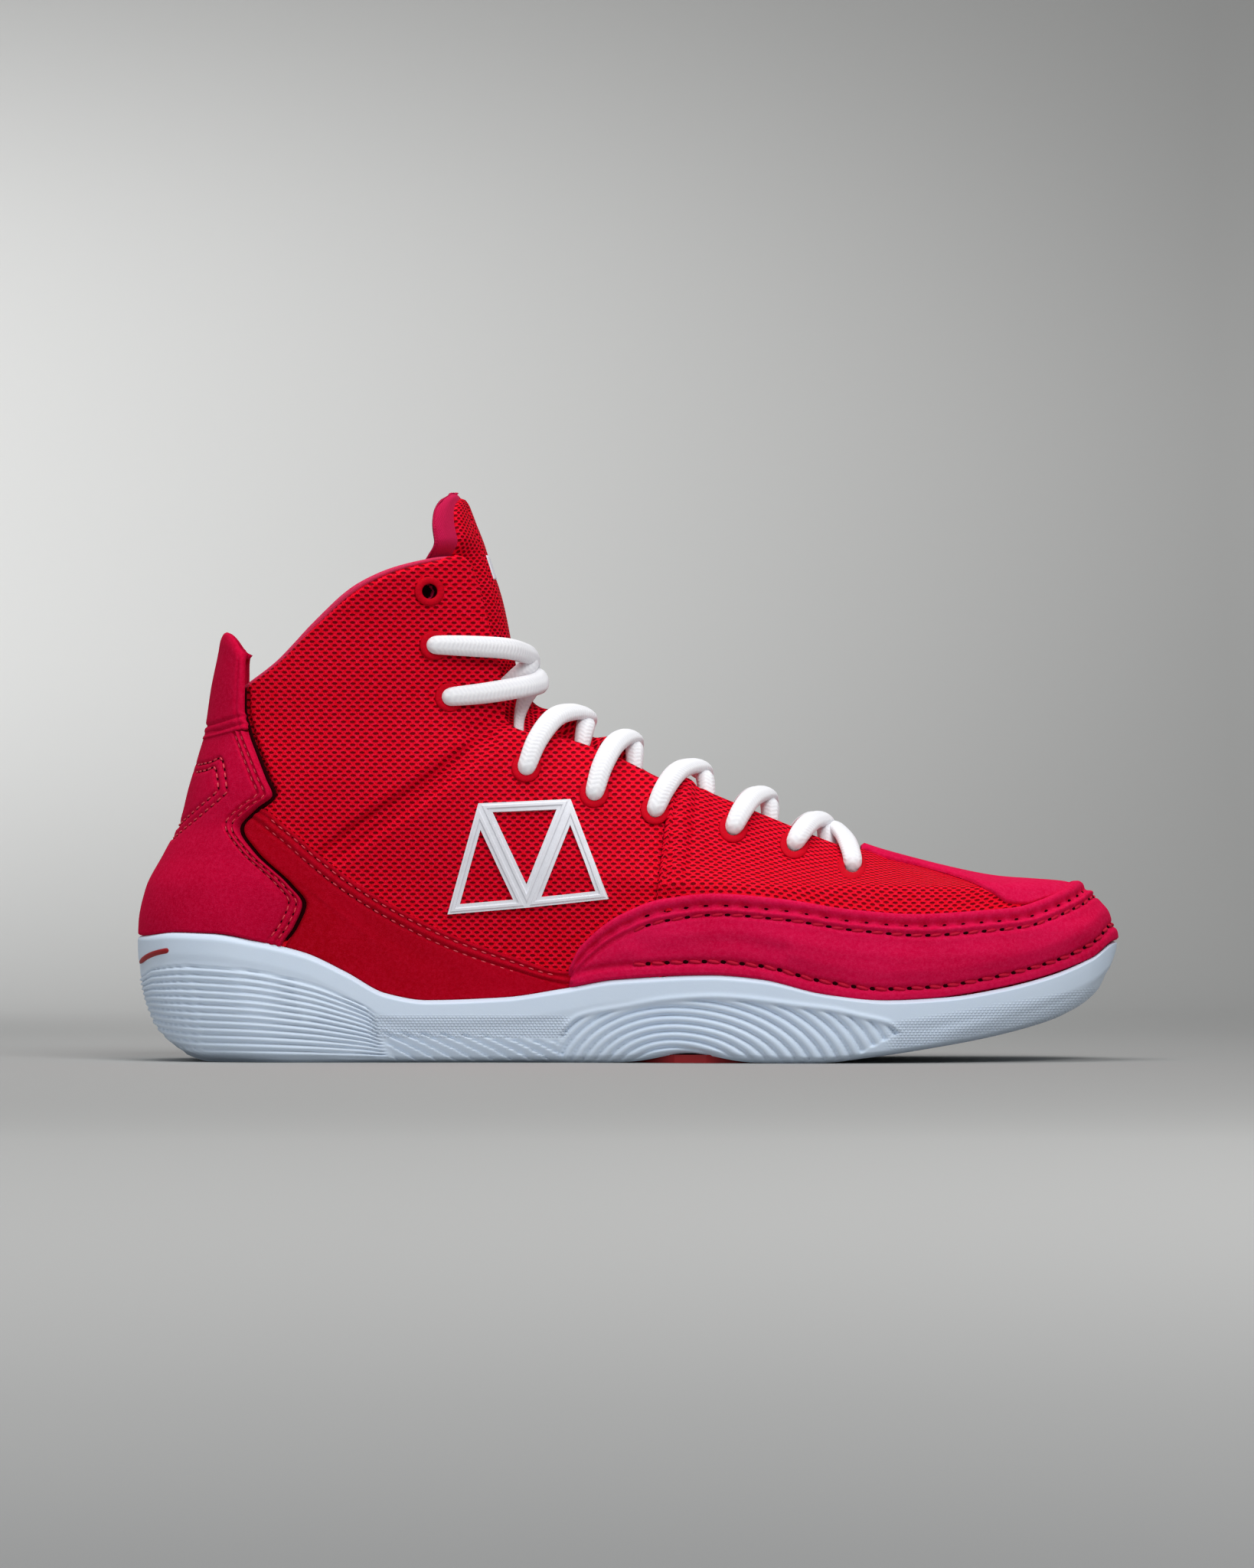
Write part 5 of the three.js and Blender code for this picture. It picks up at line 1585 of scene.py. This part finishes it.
@dataclass
class Tongue:
    """The padded tongue: mesh in front, pink lining behind."""

    cutter: Cutter
    wardrobe: Wardrobe
    fold: float = 155.6
    tip: float = 168.3
    depth: Curve = field(default_factory=lambda: Curve((58, 24), (100, 26), (120, 22), (143, 16), (148, 14.4),
                                                       (153, 12.6), (158, 10.9), (163, 8.4), (166.3, 5.2),
                                                       (168.3, 1.6)))

    def place(self, low: float, share: float, drop: float = 0.0) -> Place:
        """Returns the tongue's place, `share` of its full width and `drop` short of the tip."""
        last = self.cutter.last

        def place(u: Array, v: Array) -> tuple[Array, Array, Array]:
            t = (2 * u - 1) * share
            z = low + (self.tip - drop - low) * v
            return last.front(z) - 0.02 - self.depth(z + drop) * t * t, z, np.where(t < 0, -1.0, 1.0)

        return place

    def sink(self, g: Grid, share: float) -> Array:
        """Returns how far the tongue lies under the skin."""
        t = np.abs(2 * g.u - 1) * share
        tucked = smooth((t - 0.3) / 0.5) * (1 - smooth((g.z - 148) / 7))
        rise = smooth((g.z - 112) / 30)
        puff = (6.4 * groove(g.z - 102.0, 3.6) + 6.0 * groove(g.z - 94.3, 2.6)) * (1 - smooth((t - 0.16) / 0.2))
        throat = 4.6 + 3.4 * smooth((t - 0.2) / 0.6) + 2.0 * (1 - smooth((g.z - 62) / 8)) - puff
        return throat * (1 - rise) + (0.8 + 6.5 * tucked) * rise

    def bend(self, piece: bpy.types.Object) -> bpy.types.Object:
        """Bakes the piece's transform into its mesh."""
        ends = self.cutter.last.to_row(np.array([[103.0, 0, self.fold - 3], [101.0, 0, self.fold + 4]]))
        tuple(ends[0])
        tuple(ends[1])
        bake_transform(piece)
        return piece

    def build(self) -> list[bpy.types.Object]:
        """Returns the mesh face, the padded lining and the patch."""
        cutter = self.cutter

        def front(g: Grid) -> Array:
            t = np.abs(2 * g.u - 1) * 0.74
            stripe = 0.5 * groove(t - 0.30, 0.03)
            crown = 1.1 * smooth((g.z - 150) / 10)
            return crown - self.sink(g, 0.74) - 1.6 * (1 - roll(g.edge, 3.5)) - stripe

        def fore_pad(g: Grid) -> Array:
            crown = 1.1 * smooth((g.z - 150) / 10)
            return crown - self.sink(g, 1.0) - 1.3 - 2.2 * (1 - roll(g.edge, 4.5))

        def rear_pad(g: Grid) -> Array:
            slant = (g.z + 22 * np.abs(2 * g.u - 1)) % 8.0
            quilt = 0.6 * groove(np.abs(2 * g.u - 1) - 0.5, 0.04) + 0.5 * groove(slant - 4.0, 0.9)
            thin = 1 - 0.55 * smooth((g.z - 140) / 14)
            return quilt - self.sink(g, 1.0) - (3.6 + 3.4 * roll(g.edge, 7)) * thin

        face = cutter.lay("tongue_face", self.place(61, 0.74, 1.6), (100, 190), front, Weave.ALONG)
        apply_modifier(face, "SOLIDIFY", thickness=0.0016, offset=-1.0, use_even_offset=False)
        self.wardrobe.dress(face, self.wardrobe.tongue_mesh, "mesh", "tongue", "tongue_top")
        halves = [cutter.lay("tongue_pad", self.place(61, 1.0), (100, 190), fore_pad, Weave.ALONG),
                  cutter.lay("tongue_pad_back", self.place(61, 1.0), (100, 190), rear_pad, Weave.ALONG, inward=True)]
        pad = self.wardrobe.dress(self.close(halves), self.wardrobe.lining, "lining", "tongue_lining",
                                  "tongue_top_lining")
        return [self.bend(face), self.bend(pad), self.patch()]

    @staticmethod
    def close(halves: list[bpy.types.Object]) -> bpy.types.Object:
        """Joins the two faces of the pad by bridging their rims."""
        pad = join("tongue_lining_pad", halves)
        pad.select_set(True)
        bpy.ops.object.mode_set(mode="EDIT")
        bpy.ops.mesh.select_mode(type="EDGE")
        bpy.ops.mesh.select_all(action="DESELECT")
        bpy.ops.mesh.select_non_manifold(extend=False)
        bpy.ops.mesh.bridge_edge_loops(number_cuts=1, interpolation="SURFACE", smoothness=0.4)
        bpy.ops.mesh.select_mode(type="VERT")
        bpy.ops.object.mode_set(mode="OBJECT")
        return adopt("tongue_lining_pad")

    def patch(self) -> bpy.types.Object:
        """Returns the plain sewn patch on the tongue's front."""
        last = self.cutter.last

        def place(u: Array, v: Array) -> tuple[Array, Array, Array]:
            t = (2 * u - 1) * 0.22
            z = 142.5 + 7.5 * v
            return last.front(z) - 0.02 - self.depth(z) * t * t, z, np.where(t < 0, -1.0, 1.0)

        piece = self.cutter.lay("tongue_patch", place, (40, 20), lambda g: 0.5 * roll(g.edge, 0.8) - 0.2 - 0.8,
                                Weave.ALONG)
        apply_modifier(piece, "SOLIDIFY", thickness=0.0009, offset=-1.0)
        return self.wardrobe.dress(piece, self.wardrobe.badge, "white_plastic")


@dataclass
class Lacing:
    """Nine pairs of sewn eyelet rings and one knitted lace, crossed over the tongue."""

    cutter: Cutter
    wardrobe: Wardrobe
    ring_radius: float = 3.25
    lace_half: float = 3.25
    flat: float = 0.62
    tight: float = 2.75
    crossings: tuple[float, ...] = (68.5, 76.0, 84.0, 92.8, 99.5, 112.5, 119.0)
    bar_level: float = 66.8
    steep: float = 88.0

    def ring(self, spot: Spot, side: Side, number: int) -> bpy.types.Object:
        """Returns one eyelet's ring of thread."""
        deselect()
        bpy.ops.mesh.primitive_torus_add(major_radius=self.ring_radius, minor_radius=1.05, major_segments=48,
                                         minor_segments=10)
        piece = adopt(f"{side.word}_ring_{number}")
        co = read_points(piece)
        turn = np.arctan2(co[:, 1], co[:, 0])
        co[:, 2] = co[:, 2] * 0.5 + 0.08 * np.abs(np.sin(turn * 16))
        last = self.cutter.last
        points, normals = self.cutter.on_skin(np.array([spot[0] + co[:, 0], spot[1] + co[:, 1]]).T,
                                              float(side.value), 0.35)
        write_points(piece, last.to_row(points + normals * co[:, 2:]))
        take(piece)
        bpy.ops.object.mode_set(mode="EDIT")
        bpy.ops.mesh.select_all(action="SELECT")
        bpy.ops.mesh.normals_make_consistent(inside=False)
        bpy.ops.object.mode_set(mode="OBJECT")
        return self.wardrobe.dress(piece, self.wardrobe.ring, "suede", f"{side.word}_eyelet_{number}")

    def stop(self, spot: Spot, side: float, out: float, half: float) -> tuple[Array, float, Array]:
        """Returns one stop of the lace: its point, half width and outward direction."""
        points, normals = self.cutter.on_skin(np.array([spot], float), side, out)
        return points[0], half, normals[0]

    def over(self, hole: Spot, level: float, share: float) -> Spot:
        """Returns the skin's spot over a straight line from a hole to the ridge.

        Args:
            hole: the eyelet, in the side view.
            level: height at which the line meets the ridge.
            share: share of the way from the hole to the ridge.

        Returns:
            x and z of the spot.
        """
        last = self.cutter.last
        away = float(last.half(*hole)) * (1 - share)
        if hole[1] < self.steep:
            x = hole[0] + (float(last.front(level)) - 0.02 - hole[0]) * share
            return x, float(last.ridge(np.array(x), away))
        z = hole[1] + (level - hole[1]) * share
        part = min(1.0, away / float(last.broad(hole[0], z)))
        return float(last.front(z)) - 0.02 - float(last.nose(z)) * (1 - math.sqrt(1 - part ** 2)), z

    def climb(self, start: float) -> list[tuple[Array, float, Array]]:
        """Returns the stops of one end of the lace, from the lowest hole to its tucked tail."""
        stops: list[tuple[Array, float, Array]] = []
        side, over = start, self.lace_half * self.flat + 0.6
        for k in range(8):
            hole = EYELETS[k]
            stops += [self.stop(hole, side, 1.3, self.tight), self.stop(hole, side, -1.8, 2.1),
                      self.stop(hole, side, -5.6, 1.5)]
            if k == 7:
                break
            level = self.crossings[k]
            high = (3.2 if side > 0 else 1.0) if k < 5 else (1.4 if side > 0 else -0.4)
            stops += [self.stop(self.over(hole, level, 0.45), side, -6.8, 1.7),
                      self.stop(self.over(hole, level, 0.66), side, -2.6, 2.6),
                      self.stop(self.over(hole, level, 0.86), side, 1.2, self.lace_half * 0.9),
                      self.stop(self.over(hole, level, 1.0), side, high, self.lace_half * 0.95)]
            side, upper = -side, EYELETS[k + 1]
            stops += [self.stop(self.over(upper, level, 0.74), side, over + (0.2 if k < 5 else -1.2), self.lace_half),
                      self.stop(self.over(upper, level, 0.42), side, over + 0.3, self.lace_half),
                      self.stop(self.over(upper, level, 0.15), side, over - 0.1, self.lace_half * 0.96)]
        return stops + [self.stop(s, side, -7.0, 1.5) for s in ((82, 117), (76, 110), (72, 101), (70, 92))]

    def bar(self, side: float) -> list[tuple[Array, float, Array]]:
        """Returns the stops of half of the lowest bar."""
        over = self.lace_half * self.flat + 0.6
        return [self.stop(self.over(EYELETS[0], self.bar_level, share), side, over + rise, half)
                for share, rise, half in ((0.16, -0.1, self.lace_half * 0.93), (0.5, 0.0, self.lace_half))]

    def lace(self) -> bpy.types.Object:
        """Returns the whole lace."""
        last = self.cutter.last
        middle = (float(last.front(self.bar_level)) - 0.02, self.bar_level)
        stops = [*self.climb(-1)[::-1], *self.bar(-1), self.stop(middle, 1, 2.2, self.lace_half),
                 *self.bar(1)[::-1], *self.climb(1)]
        line = Track([np.append(np.append(p, h), n) for p, h, n in stops], 8)
        at = line.at(np.linspace(0, 1, 1500))
        points = at[:, :3]
        for _ in range(3):
            points[1:-1] = (points[:-2] + 2 * points[1:-1] + points[2:]) / 4
        piece = self.cutter.cord("lace_knit", points, at[:, 3], np.full(len(points), self.flat), unit(at[:, 4:]), 18)
        LOG.info("lace is %.0f mm long", run_along(points)[-1])
        return self.wardrobe.dress(piece, self.wardrobe.lace, "lace_knit", "lace")

    def build(self) -> list[bpy.types.Object]:
        """Returns the rings and the lace."""
        rings = [self.ring(spot, side, 9 - k) for k, spot in enumerate(EYELETS) for side in Side]
        return [*rings, self.lace()]


@dataclass
class Inside:
    """The pieces that stay as they were solid-modelled, and only need their finish."""

    frame: dict
    wardrobe: Wardrobe

    def dress(self) -> None:
        """Gives each kept node its material."""
        w = self.wardrobe
        finishes = {"forefoot_pivot_disc": w.red_rubber, "heel_tread_disc": w.red_rubber, "midsole_foam": w.foam,
                    "insole_board": w.board, "sockliner": w.lining, "vamp_lining": w.lining,
                    "toe_puff": w.stiffener, "heel_counter": w.stiffener, "collar_foam": w.foam,
                    "lateral_eyelet_facing": w.lining, "medial_eyelet_facing": w.lining,
                    "lateral_aglet": w.tip, "medial_aglet": w.tip}
        for name, material in finishes.items():
            w.wear(self.frame["nodes"][name], material)


@dataclass
class Studio:
    """A pale sweep of paper, soft lamps and the camera."""

    distance: float = 3.6
    frame_height: float = 0.4651
    eye: float = 0.0818

    def camera(self) -> None:
        """Adds the camera, level, square to the outer side."""
        deselect()
        bpy.ops.object.camera_add(location=(-0.0004, -self.distance, self.eye), rotation=(math.radians(90), 0, 0))
        camera = bpy.context.object
        camera.data.sensor_fit = "VERTICAL"
        camera.data.sensor_height = 36
        camera.data.lens = 36 * self.distance / self.frame_height
        camera.data.clip_start, camera.data.clip_end = 0.05, 40
        bpy.context.scene.camera = camera
        bpy.context.scene.view_settings.view_transform = "Standard"

    def lamp(self, name: str, place: Vector, aim: Vector, size: float, power: float) -> None:
        """Adds a soft square lamp that looks at a point."""
        deselect()
        bpy.ops.object.light_add(type="AREA", location=place,
                                 rotation=(aim - place).to_track_quat("-Z", "Y").to_euler())
        lamp = bpy.context.object
        lamp.name = name
        lamp.data.size = size
        lamp.data.energy = power

    def sweep(self) -> None:
        """Adds the floor, which curves up into the backdrop."""
        deselect()
        bpy.ops.mesh.primitive_grid_add(x_subdivisions=40, y_subdivisions=240, size=2)
        piece = adopt("paper_sweep")
        co = read_points(piece)
        s = (co[:, 1] + 1) / 2 * 9.0 - 5.5
        bend, radius = 0.75, 0.45
        arc = np.clip((s - bend) / radius, 0, np.pi / 2)
        beyond = np.maximum(0, s - bend - radius * np.pi / 2)
        y = np.where(s < bend, s, bend + radius * np.sin(arc))
        z = np.where(s < bend, 0, radius * (1 - np.cos(arc)) + beyond)
        half = 0.31 + 5.1 * (1 - smooth((s - 0.15) / 0.5))
        write_points(piece, np.stack([co[:, 0] * half, y, z - 0.00005], axis=-1))
        Wardrobe.wear(piece, self.paper())

    @staticmethod
    def paper() -> bpy.types.Material:
        """Returns the paper's pale grey with painted light: a painted glow on the left of the wall that darkens to
        the right, and a floor painted lighter towards the camera, its falloff a little different on the right.
        """
        b = Bench("paper_grey")
        x, y, z = b.split(b.place("Object"))
        # Painted light: a painted glow on the wall's left side, and its right side painted darker.
        left = b.ramp(z + 0.3, [(0.28, 0.56), (0.36, 0.76), (0.43, 0.88), (0.55, 0.90), (0.63, 0.82), (0.72, 0.49)])
        right = b.ramp(z + 0.3, [(0.28, 0.36), (0.38, 0.35), (0.50, 0.43), (0.60, 0.37), (0.72, 0.29)])
        wall = b.mix((x + 0.25) / 0.48, left, right)
        # Painted light falloff on the floor, lighter towards the camera.
        near = b.ramp(y * 0.25 + 0.65, [(0.0, 0.66), (0.15, 0.56), (0.45, 0.34), (0.55, 0.32), (0.68, 0.38)])
        far_right = b.ramp(y * 0.25 + 0.65, [(0.0, 0.66), (0.15, 0.60), (0.45, 0.37), (0.55, 0.29), (0.68, 0.30)])
        floor = b.mix((x + 0.05) / 0.25, near, far_right)
        colour = b.mix(y.fall(0.35, 1.05), wall, floor)
        return b.finish(Base_Color=colour, Roughness=0.9, Specular_IOR_Level=0.1)

    def build(self) -> None:
        """Sets the studio up."""
        self.camera()
        self.sweep()
        aim = Vector((0, 0, 0.07))
        self.lamp("key", Vector((0.55, -1.25, 1.45)), aim, 0.9, 18.5)
        self.lamp("top", Vector((-0.2, -0.1, 1.6)), aim, 1.0, 13.5)
        self.lamp("fill", Vector((-1.0, -1.9, 0.55)), aim, 1.4, 5.5)
        world = bpy.data.worlds.new("studio")
        world.use_nodes = True
        world.node_tree.nodes["Background"].inputs[0].default_value = (0.95, 0.97, 1.0, 1)
        world.node_tree.nodes["Background"].inputs[1].default_value = 0.31
        bpy.context.scene.world = world


def main() -> None:
    """Loads the frame, builds every part of the boot and reports it."""
    logging.basicConfig(level=logging.INFO, format="%(message)s")
    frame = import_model()
    Studio().build()
    cutter, wardrobe = Cutter(Last()), Wardrobe()
    overlays = Overlays(cutter, wardrobe)
    tongue = Tongue(cutter, wardrobe)
    pieces: list[bpy.types.Object] = []
    for part in (Outsole(cutter, wardrobe), Upper(cutter, wardrobe), overlays, Badge(cutter, wardrobe),
                 Lacing(cutter, wardrobe)):
        pieces += part.build()
    tongue_pieces = tongue.build()
    overlays.pull_tab()
    for piece in [*pieces, tongue_pieces[-1]]:
        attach(piece, "boot")
    Inside(frame, wardrobe).dress()
    for piece in bpy.data.objects:
        if piece.type == "MESH" and "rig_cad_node" not in piece:
            LOG.info("%s: %d faces", piece.name, len(piece.data.polygons))


if __name__ == "__main__":
    main()
